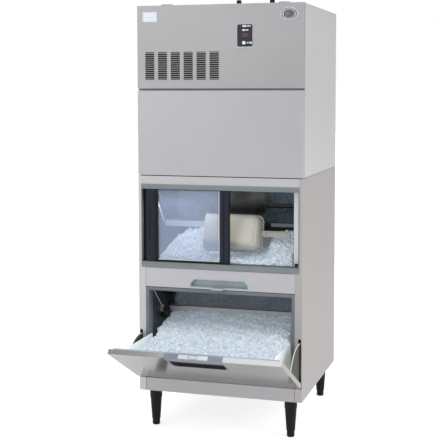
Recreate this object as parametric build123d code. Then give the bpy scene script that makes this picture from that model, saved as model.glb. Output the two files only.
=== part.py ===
from build123d import *
import math
import os

# Stack-on ice machine: an ice-making head on an insulated bin with sliding windows and a tilting flap.
# Built with x = 0 on the centre line, y = 0 on the cabinet's front plane (+y to the rear), z = 0 on the floor.
# The last step moves the whole machine so that its origin is the middle of its footprint.

# Cabinet
width = 700.0
depth = 700.0
leg_height = 158.0
bin_height = 909.0
head_height = 700.0
sheet = 1.0
bin_wall = 44.0
liner_wall = 2.0
fit = 0.3
fold_radius = 2.0

# Front of the bin
post_width = 30.0
window_post_width = 13.0
base_panel_height = 55.0
sill_depth = 36.0
sill_rise = 19.0
sill_gap = 4.0
opening_height = 353.0
opening_frame_width = 15.0
opening_frame_top = 15.0
frame_depth = 43.0
mid_panel_gap = 2.0
mid_panel_height = 82.0
panel_return = 16.0
recess_width = 248.0
recess_height = 34.0
recess_depth = 24.0
recess_corner = 17.0
recess_wall = 2.0
recess_rise = 7.0

# Sliding windows
window_sill_height = 23.0
top_strip_height = 34.0
window_head_height = 20.0
window_lip = 3.0
window_jamb = 3.0
window_flange = 26.0
track_depth = 14.0
track_clearance = 1.0
track_groove = 10.0
sash_overlap = 25.0
sash_thickness = 12.0
sash_rail = 12.0
pull_stile = 42.0
meeting_stile = 26.0
rear_pull_stile = 32.0
rear_far_stile = 20.0
glass_thickness = 4.0
left_window_slid = 16.5

# Flap
flap_open_angle = 62.0
flap_hinge_y = -20.0
flap_hinge_height = 19.0
flap_height = 364.0
flap_foot = 5.0
flap_shell = 21.0
flap_face_offset = 10.5
flap_side_gap = 1.0
pan_rim = 8.0
pan_side_gap = 18.0
pan_top_inset = 22.0
wing_side_gap = 50.0
wing_wall = 2.5
wing_radius = 173.0
stay_inset = 10.0
stay_sheet = 2.0
stay_radius = 171.0
stay_sweep = 73.0
stay_slot = 12.0
stay_tab = 2.0
stay_tab_radius = 4.0
stay_slot_above = 186.0
hinge_pin_radius = 4.0
foot_drop = 9.0
foot_lead = 8.5
top_lean = 5.0
ear_radius = 8.0
ear_sheet = 3.0
ear_inset = 36.0
handle_width = 236.0
handle_height = 132.0
handle_cap = 30.0
handle_plate = 15.0
handle_corner = 14.0
handle_border = 7.0
handle_bridge = 46.0
pocket_depth = 12.0
latch_width = 40.0
latch_depth = 12.0
latch_length = 20.0
strike_width = 50.0
strike_reach = 26.0

# Legs
leg_inset_side = 56.0
leg_inset_front = 48.0
leg_inset_rear = 38.0
leg_top_radius = 26.0
leg_bottom_radius = 18.0
leg_bore_depth = 40.0
foot_radius = 16.0
foot_height = 26.0
stud_radius = 6.0

# Inside the bin
deflector_sheet = 1.5
deflector_hem = 28.0
deflector_drop = 152.0
partition_drop = 182.0
partition_front_gap = 14.0
ice_clearance = 14.0
ice_front_gap = 47.0
upper_ice_rise = 95.0
upper_ice_shelf = 406.0
lower_ice_height = 194.0
ice_crest_x = 95.0
ice_side_drop = 6.0
scoop_length = 238.0
scoop_height = 150.0
scoop_depth = 60.0
scoop_wall = 2.5
scoop_corner = 34.0
scoop_tilt = 20.0
scoop_x = 31.0
scoop_gap = 62.0
scoop_rise = 124.0
scoop_rim = 5.0
scoop_grip = 132.0
scoop_grip_depth = 14.0
scoop_grip_height = 26.0
sensor_radius = 3.0
drain_radius = 13.0
drain_wall = 2.5
drain_drop = 34.0
drain_hose_gap = 2.0

# Head
head_seam = 3.0
front_pan_depth = 36.0
lower_panel_height = 350.0
panel_groove = 8.0
top_cover_flange = 25.0
side_flange = 14.0
louvre_columns = 6
louvre_rows = 13
louvre_width = 39.0
louvre_pitch_x = 55.5
louvre_pitch_z = 8.7
louvre_height = 2.6
louvre_stand = 2.5
louvre_inset = 35.0
louvre_bottom = 36.0
control_width = 70.0
control_height = 95.0
control_inset = 274.0
control_rise = 164.0
control_plate = 2.0
control_border = 3.0
button_radius = 7.0
button_travel = 1.5
button_x = 31.0
button_rise = 18.5
tray_sheet = 1.5
tray_rim = 24.0
drop_margin = 10.0
evaporator_width = 320.0
evaporator_depth = 220.0
evaporator_height = 34.0
evaporator_inset = 95.0
evaporator_front = 310.0
evaporator_rise = 330.0
cell_pitch = 40.0
cell_wall = 4.0
coil_pitch = 34.0
coil_radius = 6.0
water_tray_gap = 4.0
water_tray_height = 40.0
tray_hinge_radius = 4.0
compressor_radius = 88.0
compressor_height = 190.0
compressor_inset_side = 124.0
compressor_inset_rear = 150.0
compressor_stand = 24.0
pump_inset = 90.0
control_box_width = 190.0
control_box_height = 230.0
control_box_depth = 70.0
control_box_rise = 20.0
fan_radius = 105.0
fan_hub_radius = 28.0
fan_blade_count = 5
fan_tip_gap = 5.0
condenser_width = 280.0
condenser_height = 250.0
condenser_depth = 34.0
condenser_fins = 26
condenser_bends = 5
condenser_plate = 4.0
condenser_inset = 190.0
condenser_rise = 120.0
condenser_gap = 24.0
inlet_radius = 10.5
inlet_length = 20.0
gland_radius = 9.0
inlet_inset = 90.0
gland_inset = 150.0
port_height = 90.0
knob_insets = (141.0, 280.0)
knob_radius = 10.0
knob_height = 18.0
cap_insets = (109.0, 92.0)
cap_radius = 25.0
cap_height = 8.0

# Levels and planes that follow from the sizes above
half = width / 2
bin_bottom = leg_height
bin_top = bin_bottom + bin_height
sill_front = bin_bottom + base_panel_height
sill_top = sill_front + sill_rise
opening_top = sill_top + opening_height
frame_top = opening_top + opening_frame_top
mid_bottom = frame_top + mid_panel_gap
mid_top = mid_bottom + mid_panel_height
window_bottom = mid_top + sheet
window_sill = window_bottom + window_sill_height
window_top = bin_top - top_strip_height
window_head = window_top - window_head_height
opening_half = half - post_width
window_half = half - window_post_width
sash_width = window_half + sash_overlap
skin_inside = half - sheet
wing_spacing = width - wing_side_gap * 2
stay_x = half - stay_inset
pan_width = width - pan_side_gap * 2
louvre_left = louvre_inset - half
control_left = half - control_inset
evaporator_left = evaporator_inset - half
liner_outer = half - bin_wall
liner_inner = liner_outer - liner_wall
liner_front = sheet + frame_depth
liner_back = depth - bin_wall - liner_wall
liner_floor = bin_bottom + bin_wall + liner_wall * 3
rear_inside = depth - sheet
head_bottom = bin_top + head_seam
head_top = bin_top + head_height
lower_panel_top = head_bottom + lower_panel_height
upper_panel_bottom = lower_panel_top + panel_groove
cover_bottom = head_top - top_cover_flange
hinge_z = sill_front + flap_hinge_height
front_track = sheet + track_clearance
rear_track = front_track + track_depth + track_clearance * 2
tray_floor = bin_top + tray_sheet
drain_y = liner_back - post_width * 2

parts = {}


def block(x0, x1, y0, y1, z0, z1):
    return Pos((x0 + x1) / 2, (y0 + y1) / 2, (z0 + z1) / 2) * Box(x1 - x0, y1 - y0, z1 - z0)


def side_prism(outline, x0, x1, radius=0.0):
    """Extrudes an outline given as (y, z) points from x0 to x1, with its corners rounded."""
    face = make_face(Polyline(*outline, close=True))
    if radius > 0:
        face = fillet(face.vertices(), radius)
    return extrude(Plane.YZ.offset(x0) * face, amount=x1 - x0)


def front_prism(outline, y0, y1, radius=0.0):
    """Extrudes an outline given as (x, z) points from y0 back to y1, with its corners rounded."""
    face = make_face(Polyline(*outline, close=True))
    if radius > 0:
        face = fillet(face.vertices(), radius)
    return extrude(Plane.XZ.offset(-y1) * face, amount=y1 - y0)


def along_y(x, z, radius, y0, y1):
    return Pos(x, (y0 + y1) / 2, z) * Rot(90, 0, 0) * Cylinder(radius, y1 - y0)


def along_x(y, z, radius, x0, x1):
    return Pos((x0 + x1) / 2, y, z) * Rot(0, 90, 0) * Cylinder(radius, x1 - x0)


def front_pan(x0, x1, y0, y1, z0, z1):
    """A folded sheet pan with its face at y0, its four returns reaching back to y1, open at the back."""
    pan = block(x0, x1, y0, y1, z0, z1)
    pan = fillet(pan.faces().sort_by(Axis.Y)[0].edges(), fold_radius)
    return pan - block(x0 + sheet, x1 - sheet, y0 + sheet, y1 + sheet, z0 + sheet, z1 - sheet)


def mirrored(shape):
    return mirror(shape, about=Plane.YZ)


def sill_outline(back):
    """The base panel's front line: straight up, then the slope that leads back under the flap."""
    return [(0, bin_bottom), (0, sill_front), (sill_depth, sill_top), (back, sill_top)]


# Bin cabinet
def bin_right_side():
    """One folded sheet: side wall, front post with the stay slot, and a rear flange."""
    wall = block(skin_inside, half, 0, rear_inside, bin_bottom, bin_top)
    post_low = block(opening_half, half, 0, sheet, bin_bottom, mid_top)
    post_high = block(window_half, half, 0, sheet, mid_top, bin_top)
    rear = block(half - side_flange, half, rear_inside - sheet, rear_inside, bin_bottom, bin_top)
    side = wall + post_low + post_high + rear
    side = fillet(side.edges().filter_by(Axis.Z).filter_by_position(Axis.Y, 0, 0).sort_by(Axis.X)[-1], sheet)
    notch = block(opening_half, skin_inside, -sheet, sheet * 2, sill_front, sill_top + sill_gap)
    slot = block(stay_x - stay_slot / 2, stay_x + stay_slot / 2, -sheet, sheet * 2,
                 hinge_z - post_width / 2, sill_top + stay_slot_above)
    ledge = side_prism([(sheet, sill_front - sheet), (0, sill_front), (sill_depth, sill_top),
                        (sill_depth, sill_top - sheet)], opening_half, skin_inside)
    return side - notch - slot + ledge


def bin_rear_panel():
    return block(-half, half, rear_inside, depth, bin_bottom, bin_top)


def bin_bottom_plate():
    plate = block(-skin_inside, skin_inside, sheet, rear_inside - sheet, bin_bottom, bin_bottom + tray_sheet)
    return plate - Pos(0, drain_y, bin_bottom) * Cylinder(drain_radius + fit, sheet * 9)


def stay_pocket(side):
    """The hollow in the side wall that a stay swings into as the flap closes."""
    x0, x1 = sorted((side * (stay_x - stay_slot / 2 - stay_tab * 2), side * skin_inside))
    top = sill_top + stay_slot_above
    return block(x0, x1, -sheet, flap_hinge_y + stay_radius + post_width / 2, sill_front - sheet, top)


def insulation():
    """Foam that fills the space between the outer sheets and the liner."""
    low = bin_bottom + tray_sheet
    foam = block(-skin_inside, skin_inside, sheet, rear_inside - sheet, low, bin_top)
    foam -= block(-liner_outer, liner_outer, liner_front, liner_back + liner_wall, liner_floor - liner_wall,
                  bin_top + sheet)
    foam -= block(-opening_half, opening_half, 0, liner_front + sheet, sill_top, frame_top)
    foam -= block(-opening_half, opening_half, 0, panel_return + recess_depth, frame_top, mid_top + sheet)
    foam -= block(-window_half, window_half, 0, liner_front + sheet, mid_top, bin_top + sheet)
    foam -= block(opening_half - sheet, window_half + fit, 0, panel_return, sill_top, mid_top)
    foam -= block(-window_half - fit, sheet - opening_half, 0, panel_return, sill_top, mid_top)
    notch = side_prism([(0, sill_front - sheet * 2), (0, sill_top + sill_gap),
                        (sill_depth + sheet, sill_top + sill_gap), (sill_depth + sheet, sill_top - sheet * 2)],
                       -skin_inside, skin_inside)
    foam -= notch
    foam -= block(-opening_half, opening_half, sill_depth, liner_front + sheet, sill_top - sheet * 2, sill_top)
    for side in (-1, 1):
        foam -= stay_pocket(side)
    return foam - Pos(0, drain_y, bin_bottom) * Cylinder(drain_radius, bin_wall * 4)


def bin_liner():
    """Moulded liner: floor, walls and a front wall that both openings are cut through."""
    liner = block(-liner_outer, liner_outer, liner_front, liner_back + liner_wall, liner_floor - liner_wall,
                  bin_top)
    liner -= block(-liner_inner, liner_inner, liner_front + liner_wall, liner_back, liner_floor,
                   bin_top + sheet)
    liner -= block(-liner_inner, liner_inner, liner_front - sheet, liner_front + bin_wall / 4, sill_top,
                   opening_top)
    liner -= block(-liner_inner, liner_inner, liner_front - sheet, liner_front + bin_wall / 4, window_sill,
                   bin_top + sheet)
    return liner - Pos(0, drain_y, liner_floor) * Cylinder(drain_radius, liner_wall * 4)


def drain_pipe():
    """Flanged outlet that drops through the floor and ends below the cabinet."""
    low = bin_bottom - drain_drop
    step = bin_bottom - drain_hose_gap
    pipe = Pos(0, drain_y, (low + step) / 2) * Cylinder(drain_radius - fit, step - low)
    pipe += Pos(0, drain_y, (step + liner_floor) / 2) * Cylinder(drain_radius - fit * 2, liner_floor - step)
    flange = Pos(0, drain_y, liner_floor + sheet) * Cylinder(drain_radius + drain_wall * 3, sheet * 2)
    bore = Pos(0, drain_y, liner_floor - bin_wall) * Cylinder(drain_radius - drain_wall, bin_wall * 6)
    return pipe + flange - bore


def base_panel():
    """Front bottom panel: its face folds back into the sloping sill below the flap."""
    outer = sill_outline(liner_front)
    inner = [(liner_front, sill_top - sheet), (sill_depth + sheet / 4, sill_top - sheet),
             (sheet, sill_front - sheet * 0.6), (sheet, bin_bottom)]
    return side_prism(outer + inner, fit - opening_half, opening_half - fit)


def top_strip():
    """Folded strip above the windows that closes the front up to the head."""
    outline = [(0, window_top), (0, bin_top), (liner_front, bin_top), (liner_front, bin_top - sheet),
               (sheet, bin_top - sheet), (sheet, window_top + sheet), (panel_return, window_top + sheet),
               (panel_return, window_top)]
    return side_prism(outline, fit - window_half, window_half - fit)


def recess_outline(grow):
    w = recess_width / 2 + grow
    low = mid_bottom + recess_rise - grow
    high = mid_bottom + recess_rise + recess_height + grow
    c = recess_corner
    return [(-w, low), (w, low), (w, high - c), (w - c, high), (c - w, high), (-w, high - c)]


def mid_panel():
    """Panel between the openings, with a hole for the pull recess."""
    panel = front_pan(fit - opening_half, opening_half - fit, 0, panel_return, mid_bottom, mid_top)
    return panel - front_prism(recess_outline(fit), -sheet, panel_return)


def pull_recess():
    """Moulded hollow for the fingers, closed at its back."""
    cup = front_prism(recess_outline(0), 0, recess_depth, recess_wall * 2)
    hollow = front_prism(recess_outline(-recess_wall), -sheet, recess_depth - recess_wall, recess_wall)
    return cup - hollow


def strike_plate():
    """Bent steel keeper: it lies on the floor of the recess and reaches out over the flap's top edge."""
    low = mid_bottom + recess_rise + recess_wall
    t = sheet * 1.5
    back = recess_depth - recess_wall
    tip = -strike_reach - t
    outline = [(back, low), (-strike_reach, low), (-strike_reach, low - t * 4), (tip, low - t * 4),
               (tip, low + t), (back, low + t)]
    return side_prism(outline, -strike_width / 2, strike_width / 2)


def opening_frame():
    """Grey moulded frame round the flap's opening, at both sides and over the top."""
    outer = block(-opening_half, opening_half, sheet, liner_front, sill_top, frame_top)
    inner = opening_half - opening_frame_width
    outer -= block(-inner, inner, 0, liner_front + sheet, sill_top - sheet, opening_top)
    rim = outer.edges().filter_by_position(Axis.Y, sheet - fit, sheet + fit)
    rim = rim.filter_by(Axis.X).sort_by(Axis.Z)[-2:-1] + rim.filter_by(Axis.Z).sort_by(Axis.X)[1:3]
    return chamfer(rim, sheet * 3)


# Windows
def window_frame():
    """Frame with two tracks: deep rails at top and bottom, thin jambs, and a flange behind the tracks."""
    outer = window_half - fit
    back = liner_front
    ring = block(-outer, outer, -window_lip, back, window_bottom, window_top)
    tracks = rear_track + track_depth
    through = outer - window_jamb
    ring -= block(-through, through, -sheet * 5, tracks + track_clearance, window_sill, window_head)
    inner = outer - window_jamb - window_flange
    ring -= block(-inner, inner, -sheet * 5, back + sheet, window_sill, window_head)
    for y in (front_track, rear_track):
        ring -= block(-through, through, y - track_clearance, y + sash_thickness + track_clearance,
                      window_sill - track_groove, window_head + track_groove)
    return ring


def sash(x0, y0, left_stile, right_stile):
    """A sliding window's frame, with its two stiles, thin rails and a rebate for the glass."""
    low = window_sill - track_groove + fit
    high = window_head + track_groove - track_clearance
    x1 = x0 + sash_width
    frame = block(x0, x1, y0, y0 + sash_thickness, low, high)
    frame -= block(x0 + left_stile, x1 - right_stile, y0 - sheet, y0 + sash_thickness + sheet,
                   low + sash_rail, high - sash_rail)
    y_mid = y0 + sash_thickness / 2
    slot = glass_thickness / 2
    frame -= block(x0 + left_stile - slot * 2, x1 - right_stile + slot * 2, y_mid - slot, y_mid + slot,
                   low + sash_rail - slot * 2, high - sash_rail + slot * 2)
    return frame


def pull_groove(x, y0):
    """The upright finger hollow in a pull stile."""
    low = window_sill + (window_head - window_sill) * 0.3
    high = window_head - (window_head - window_sill) * 0.3
    return block(x - pull_stile / 5, x + pull_stile / 5, y0 - sheet, y0 + sash_thickness / 4, low, high)


def glass(x0, y0, left_stile, right_stile):
    low = window_sill - track_groove + fit + sash_rail
    high = window_head + track_groove - track_clearance - sash_rail
    y_mid = y0 + sash_thickness / 2
    slot = glass_thickness / 2
    return block(x0 + left_stile - slot * 2, x0 + sash_width - right_stile + slot * 2, y_mid - slot,
                 y_mid + slot, low - slot * 2, high + slot * 2)


# Flap, modelled closed and then turned open about its hinge
def flap_at(y, z):
    """A point of the closed flap: y outwards from the hinge line (- is out), z up from it."""
    return (flap_hinge_y + y, hinge_z + z)


def open_flap(shape):
    hinge = Pos(0, flap_hinge_y, hinge_z)
    return hinge * Rot(flap_open_angle, 0, 0) * hinge.inverse() * shape


def flap_profile(inset):
    """Side outline of the flap's shell: flat face, foot that wraps the hinge line, leaning top edge."""
    out = inset - flap_face_offset
    rear = flap_shell - flap_face_offset
    top = flap_foot + flap_height - inset
    low = inset - foot_drop
    return [flap_at(out, flap_foot + inset / 2), flap_at(out, top), flap_at(rear, top - top_lean),
            flap_at(rear, low), flap_at(out + foot_lead - inset / 2, low)]


def handle_outline(grow):
    w = handle_width / 2 + grow
    top = hinge_z + flap_foot + flap_height
    low = top - handle_height - grow
    c = handle_corner
    above = top + flap_shell
    return [(-w, above), (-w, low + c), (c - w, low), (w - c, low), (w, low + c), (w, above)]


def pin_bore(side):
    return along_x(flap_hinge_y, hinge_z, hinge_pin_radius + fit, side * half - ear_inset * 2,
                   side * half + ear_inset * 2)


def ear_notch(side):
    """The opening in the flap's foot that an ear of the hinge reaches through."""
    x = side * (half - ear_inset)
    reach = ear_radius + fit * 3
    face = flap_hinge_y - flap_face_offset + sheet * 1.5
    return block(x - ear_sheet, x + ear_sheet, face, flap_hinge_y + flap_shell * 2, hinge_z - flap_shell,
                 hinge_z + reach)


def flap_outer_panel():
    """Stainless skin of the flap, folded round its ends and foot, with the gap for the handle."""
    w = half - flap_side_gap
    top = hinge_z + flap_foot + flap_height
    back = flap_hinge_y + flap_shell - flap_face_offset
    shell = side_prism(flap_profile(0), -w, w)
    shell -= side_prism(flap_profile(sheet), sheet - w, w - sheet)
    shell -= block(sheet - w, w - sheet, back - sheet * 1.5, 0, hinge_z - foot_drop + sheet,
                   top - top_lean - sheet * 2)
    shell -= front_prism(handle_outline(fit), flap_hinge_y - flap_shell, 0)
    for side in (-1, 1):
        shell -= pin_bore(side)
        shell -= ear_notch(side)
    return shell


def wing_outline():
    """Side wall of the flap's pan: it follows an arc about the hinge, so it slides past the frame."""
    root = flap_shell - flap_face_offset + pan_rim
    face_low = flap_at(root - sheet, flap_foot * 2)
    face_high = flap_at(root - sheet, flap_height * 0.84)
    crest_y = wing_radius * 0.3
    crest = flap_at(crest_y, flap_height * 0.735)
    swing = math.radians(75)
    tail = flap_at(wing_radius * math.sin(swing), wing_radius * math.cos(swing))
    heel = flap_at(wing_radius * 0.58, flap_foot * 2)
    return [face_low, face_high, crest, tail, heel]


def flap_inner_pan():
    """White foam-filled moulding inside the flap, with a raised rim plate and two side wings."""
    w = half - flap_side_gap - sheet - fit
    top = hinge_z + flap_foot + flap_height
    back = flap_hinge_y + flap_shell - flap_face_offset
    face = flap_hinge_y - flap_face_offset
    core = side_prism(flap_profile(sheet + fit), -w, w)
    core -= front_prism(handle_outline(fit * 2), face - sheet, face + handle_plate + fit)
    core -= block(-handle_width / 2 - fit * 2, handle_width / 2 + fit * 2, face, 0, top - handle_cap - fit, top)
    rim = block(-pan_width / 2, pan_width / 2, back - sheet, back + pan_rim, hinge_z + flap_foot * 2,
                top - pan_top_inset)
    rim = fillet(rim.faces().sort_by(Axis.Y)[-1].edges(), pan_rim / 3)
    rim -= block(-handle_width / 2 - fit * 2, handle_width / 2 + fit * 2, face, back + fit,
                 top - handle_cap - fit, top)
    half_wing = wing_spacing / 2
    wing = side_prism(wing_outline(), half_wing - wing_wall, half_wing, 6)
    pan = core + rim + wing + mirrored(wing)
    for side in (-1, 1):
        pan -= pin_bore(side)
        pan -= ear_notch(side)
        x0, x1 = sorted((side * (stay_x - stay_sheet / 2 - fit), side * half))
        pan -= block(x0, x1, face - sheet, back + pan_rim * 2, hinge_z - flap_shell, hinge_z + stay_radius)
    return pan


def stay(side):
    """Sector plate that slides through the post's slot and holds the flap at its stop."""
    root = -flap_face_offset / 2
    sweep = math.radians(stay_sweep)
    start = math.asin(root / stay_radius)
    mid = (start + sweep) / 2
    tip, middle, tail = [flap_at(stay_radius * math.sin(a), stay_radius * math.cos(a))
                         for a in (start, mid, sweep)]
    inner = stay_radius - stay_slot * 2
    boss = hinge_pin_radius * 2 - fit
    edge = Polyline(tail, flap_at(inner * math.sin(sweep), inner * math.cos(sweep)), flap_at(boss, -boss / 2),
                    flap_at(0, -boss / 2), flap_at(root, 0), tip)
    face = make_face(ThreePointArc(tip, middle, tail) + edge)
    plate = extrude(Plane.YZ.offset(stay_x - stay_sheet / 2) * face, amount=stay_sheet)
    plate -= pin_bore(1)
    tab_angle = math.radians(stay_sweep - 2)
    tab_r = stay_radius - stay_tab_radius * 1.5
    tab_y, tab_z = flap_at(tab_r * math.sin(tab_angle), tab_r * math.cos(tab_angle))
    plate += along_x(tab_y, tab_z, stay_tab_radius, stay_x - stay_slot / 2 - stay_tab,
                     stay_x + stay_slot / 2 + stay_tab)
    return plate if side > 0 else mirrored(plate)


def latch_oval(grow, z0, z1):
    """Oval prism in the middle of the flap's top edge."""
    y = flap_hinge_y - flap_face_offset + flap_shell / 2
    oval = Plane.XY.offset(z0) * Pos(0, y) * SlotOverall(latch_width + grow * 2, latch_depth + grow * 2)
    return extrude(oval, amount=z1 - z0)


def flap_handle():
    """Grey moulding let into the flap's face and top edge, with a hollow for the fingers."""
    face = flap_hinge_y - flap_face_offset
    top = hinge_z + flap_foot + flap_height
    body = front_prism(handle_outline(0), face, face + handle_plate)
    body += block(-handle_width / 2, handle_width / 2, face, face + flap_shell, top - handle_cap, top)
    body &= side_prism(flap_profile(0), -half, half)
    w = handle_width / 2 - handle_border
    low = top - handle_height + handle_border
    high = top - handle_bridge
    c = handle_corner
    hollow = front_prism([(-w, high), (-w, low + c), (c - w, low), (w - c, low), (w, low + c), (w, high)],
                         face - sheet, face + pocket_depth)
    return body - hollow - latch_oval(fit, top - handle_cap + sheet * 3, top + sheet)


def flap_latch():
    """Spring bolt in the flap's top edge, pressed in to free the flap."""
    top = hinge_z + flap_foot + flap_height - top_lean / 2 + sheet * 1.5
    bolt = latch_oval(0, top - latch_length, top)
    return chamfer(bolt.faces().sort_by(Axis.Z)[-1].edges(), sheet)


def hinge_pin(side):
    """Hinge ear welded to the sill, with the pin that the flap's end and stay turn on."""
    x = half - ear_inset
    pin = along_x(flap_hinge_y, hinge_z, hinge_pin_radius, x - ear_sheet, half - flap_side_gap)
    slope = sill_rise / sill_depth
    y0, y1 = sill_depth * 0.1, sill_depth * 0.5
    strut = side_prism([flap_at(-ear_radius * 0.5, -ear_radius * 0.85), (y0, sill_front + y0 * slope),
                        (y1, sill_front + y1 * slope), flap_at(ear_radius * 0.5, ear_radius * 0.85)],
                       x - ear_sheet / 2, x + ear_sheet / 2)
    ear = along_x(flap_hinge_y, hinge_z, ear_radius, x - ear_sheet / 2, x + ear_sheet / 2)
    whole = pin + ear + strut
    return whole if side > 0 else mirrored(whole)


# Legs and feet
def leg_place(i):
    x = (half - leg_inset_side) * (1 if i % 2 else -1)
    y = leg_inset_front if i < 2 else depth - leg_inset_rear
    return x, y


def leg(i):
    x, y = leg_place(i)
    r0, r1 = leg_bottom_radius, leg_top_radius
    outline = [(0, foot_height), (r0, foot_height), (r1 - 2, leg_height * 0.72), (r1, leg_height * 0.78),
               (r1, leg_height), (0, leg_height)]
    body = revolve(Plane.XZ * make_face(Polyline(*outline, close=True)), Axis.Z)
    bore = Pos(0, 0, foot_height + leg_bore_depth / 2) * Cylinder(stud_radius + fit, leg_bore_depth)
    return Pos(x, y, 0) * (body - bore)


def foot(i):
    x, y = leg_place(i)
    pad = Pos(0, 0, (foot_height - fit) / 2) * Cylinder(foot_radius, foot_height - fit)
    pad = chamfer(pad.edges().sort_by(Axis.Z)[0], 3)
    stud = Cylinder(stud_radius, leg_bore_depth - fit * 6)
    stud = Pos(0, 0, foot_height + leg_bore_depth / 2 - fit * 4) * stud
    return Pos(x, y, 0) * (pad + stud)


# Inside the bin
def hemmed_slope(y0, z0, drop):
    """A sheet that slopes back at about 45 degrees and ends in an upright hem."""
    y1 = y0 + drop
    z1 = z0 - drop
    t = deflector_sheet
    return [(y0, z0), (y1, z1), (y1, z1 - deflector_hem), (y1 + t, z1 - deflector_hem),
            (y1 + t, z1 + t * 0.4), (y0 + t, z0 + t * 0.4), (y0, z0 + t * 1.4)]


def ice_deflector():
    """Polished sheet under the head that sends the falling ice to the back."""
    y0 = liner_front + liner_wall + fit
    return side_prism(hemmed_slope(y0, window_head, deflector_drop), fit - liner_inner, liner_inner - fit)


def partition_front():
    return liner_front + liner_wall + fit + partition_front_gap, mid_top - bin_wall * 0.6


def ice_partition():
    """Sloping sheet between the openings that carries the upper ice."""
    y0, z0 = partition_front()
    outline = hemmed_slope(y0, z0, partition_drop)
    t = deflector_sheet
    lip = [(liner_front + liner_wall, z0), (y0, z0)]
    lip_back = [(y0, z0 + t * 1.4), (liner_front + liner_wall + t, z0 + t * 1.4),
                (liner_front + liner_wall + t, z0 + t * 9), (liner_front + liner_wall, z0 + t * 9)]
    return side_prism(lip + outline[1:6] + lip_back, fit - liner_inner, liner_inner - fit)


def scoop_back_corner():
    """Where the scoop's low rear edge touches the ice, as (y, z)."""
    a = math.radians(scoop_tilt)
    y, z = scoop_depth / 2, -scoop_height / 2 - scoop_rim
    return (liner_front + scoop_gap + y * math.cos(a) + -z * -math.sin(a),
            window_sill + scoop_rise - y * math.sin(a) + z * math.cos(a))


def stored_ice():
    """Ice heap: it lies on the partition behind the windows and runs down to the flap's opening."""
    y0, z0 = partition_front()
    t = deflector_sheet
    hem_y = y0 + partition_drop + t + fit
    hem_z = z0 - partition_drop
    front = liner_front + liner_wall * 3
    rest_y, rest_z = scoop_back_corner()
    shelf = window_sill + upper_ice_rise
    low_front = [(ice_front_gap, liner_floor + fit), (ice_front_gap, sill_top + lower_ice_height),
                 (hem_y, hem_z - deflector_hem - fit)]
    up = [(hem_y, hem_z + t), (y0 + t + fit, z0 + t * 2), (front, z0 + t * 10), (front, window_sill - fit),
          (rest_y, rest_z - fit), (liner_front + upper_ice_shelf, shelf), (liner_back - fit, shelf),
          (liner_back - fit, liner_floor + fit)]
    w = liner_inner - ice_clearance
    heap = side_prism(low_front + up, -w, w)
    crest = window_sill + upper_ice_rise + sheet
    heap -= front_prism([(-liner_inner, window_sill - ice_side_drop), (-ice_crest_x, crest), (-liner_inner, crest)],
                        liner_front, liner_back)
    return heap - Pos(0, drain_y, liner_floor) * Cylinder(drain_radius + drain_wall * 4, sheet * 5)


def loose_ice():
    """Ice that has run out on to the open flap."""
    a = math.radians(flap_open_angle)
    off = flap_shell - flap_face_offset + pan_rim + fit

    def on_pan(up):
        return (flap_hinge_y - up * math.sin(a) + off * math.cos(a),
                hinge_z + up * math.cos(a) + off * math.sin(a))

    tip = on_pan(flap_foot + flap_height - pan_top_inset - 6)
    heel = on_pan(foot_drop * 2)
    front = ice_front_gap - fit
    outline = [tip, heel, (front, heel[1]), (front, sill_top + lower_ice_height)]
    w = wing_spacing / 2 - wing_wall - ice_clearance / 2
    return side_prism(outline, -w, w)


def bin_sensor():
    """Bright sensing tube on the left wall, held at its low end by a round clip."""
    x = -liner_inner + sensor_radius + fit
    rise = frame_top - mid_panel_gap * 10
    start = Vector(x, liner_front, rise)
    end = Vector(x, liner_front + 104, rise - 92)
    rod = Plane(origin=start, z_dir=(end - start)) * Pos(0, 0, (end - start).length / 2)
    tube = rod * Cylinder(sensor_radius, (end - start).length)
    clip = along_x(end.Y, end.Z - 8, 16, -liner_inner, -liner_inner + sensor_radius * 2.4)
    return tube + clip


def scoop():
    """Moulded scoop lying on the ice: a deep bowl open behind and at its left end, with a flat grip."""
    bowl = Box(scoop_length, scoop_depth, scoop_height)
    front = bowl.faces().sort_by(Axis.Y)[0].edges()
    sides = front.filter_by(Axis.X)
    bowl = fillet(sides + bowl.faces().sort_by(Axis.X)[-1].edges().sort_by(Axis.Y)[:3], scoop_corner)
    mouth = [bowl.faces().sort_by(Axis.Y)[-1], bowl.faces().sort_by(Axis.X)[0]]
    bowl = offset(bowl, amount=-scoop_wall, openings=mouth)
    rim = Pos(scoop_rim / 2, (scoop_depth - scoop_wall) / 2, 0) * Box(
        scoop_length + scoop_rim, scoop_wall, scoop_height + scoop_rim * 2)
    rim = fillet(rim.edges().filter_by(Axis.Y).sort_by(Axis.X)[2:], scoop_corner)
    mouth_side = Pos(-scoop_wall, 0, 0) * Box(scoop_length, scoop_depth * 2, scoop_height - scoop_wall * 2)
    rim -= fillet(mouth_side.edges().filter_by(Axis.Y).sort_by(Axis.X)[2:], scoop_corner - scoop_wall)
    reach = scoop_length / 2
    grip = Pos(reach + scoop_grip / 2 - 12, scoop_depth / 2 - scoop_grip_depth / 2, 0) * Box(
        scoop_grip, scoop_grip_depth, scoop_grip_height)
    grip = fillet(grip.edges().filter_by(Axis.X), 5)
    grip -= Pos(reach + scoop_grip / 2, scoop_depth / 2 - scoop_grip_depth, 0) * Box(
        scoop_grip - 34, scoop_grip_depth, scoop_grip_height - 10)
    grip -= Pos(reach + scoop_grip - 22, 0, 0) * Rot(90, 0, 0) * Cylinder(5, scoop_depth * 2)
    grip -= Pos(0, -scoop_wall, 0) * Box(scoop_length - scoop_wall, scoop_depth, scoop_height - scoop_wall)
    tool = Rot(-scoop_tilt, 0, 0) * (bowl + rim + grip)
    return Pos(scoop_x, liner_front + scoop_gap, window_sill + scoop_rise) * tool


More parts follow.
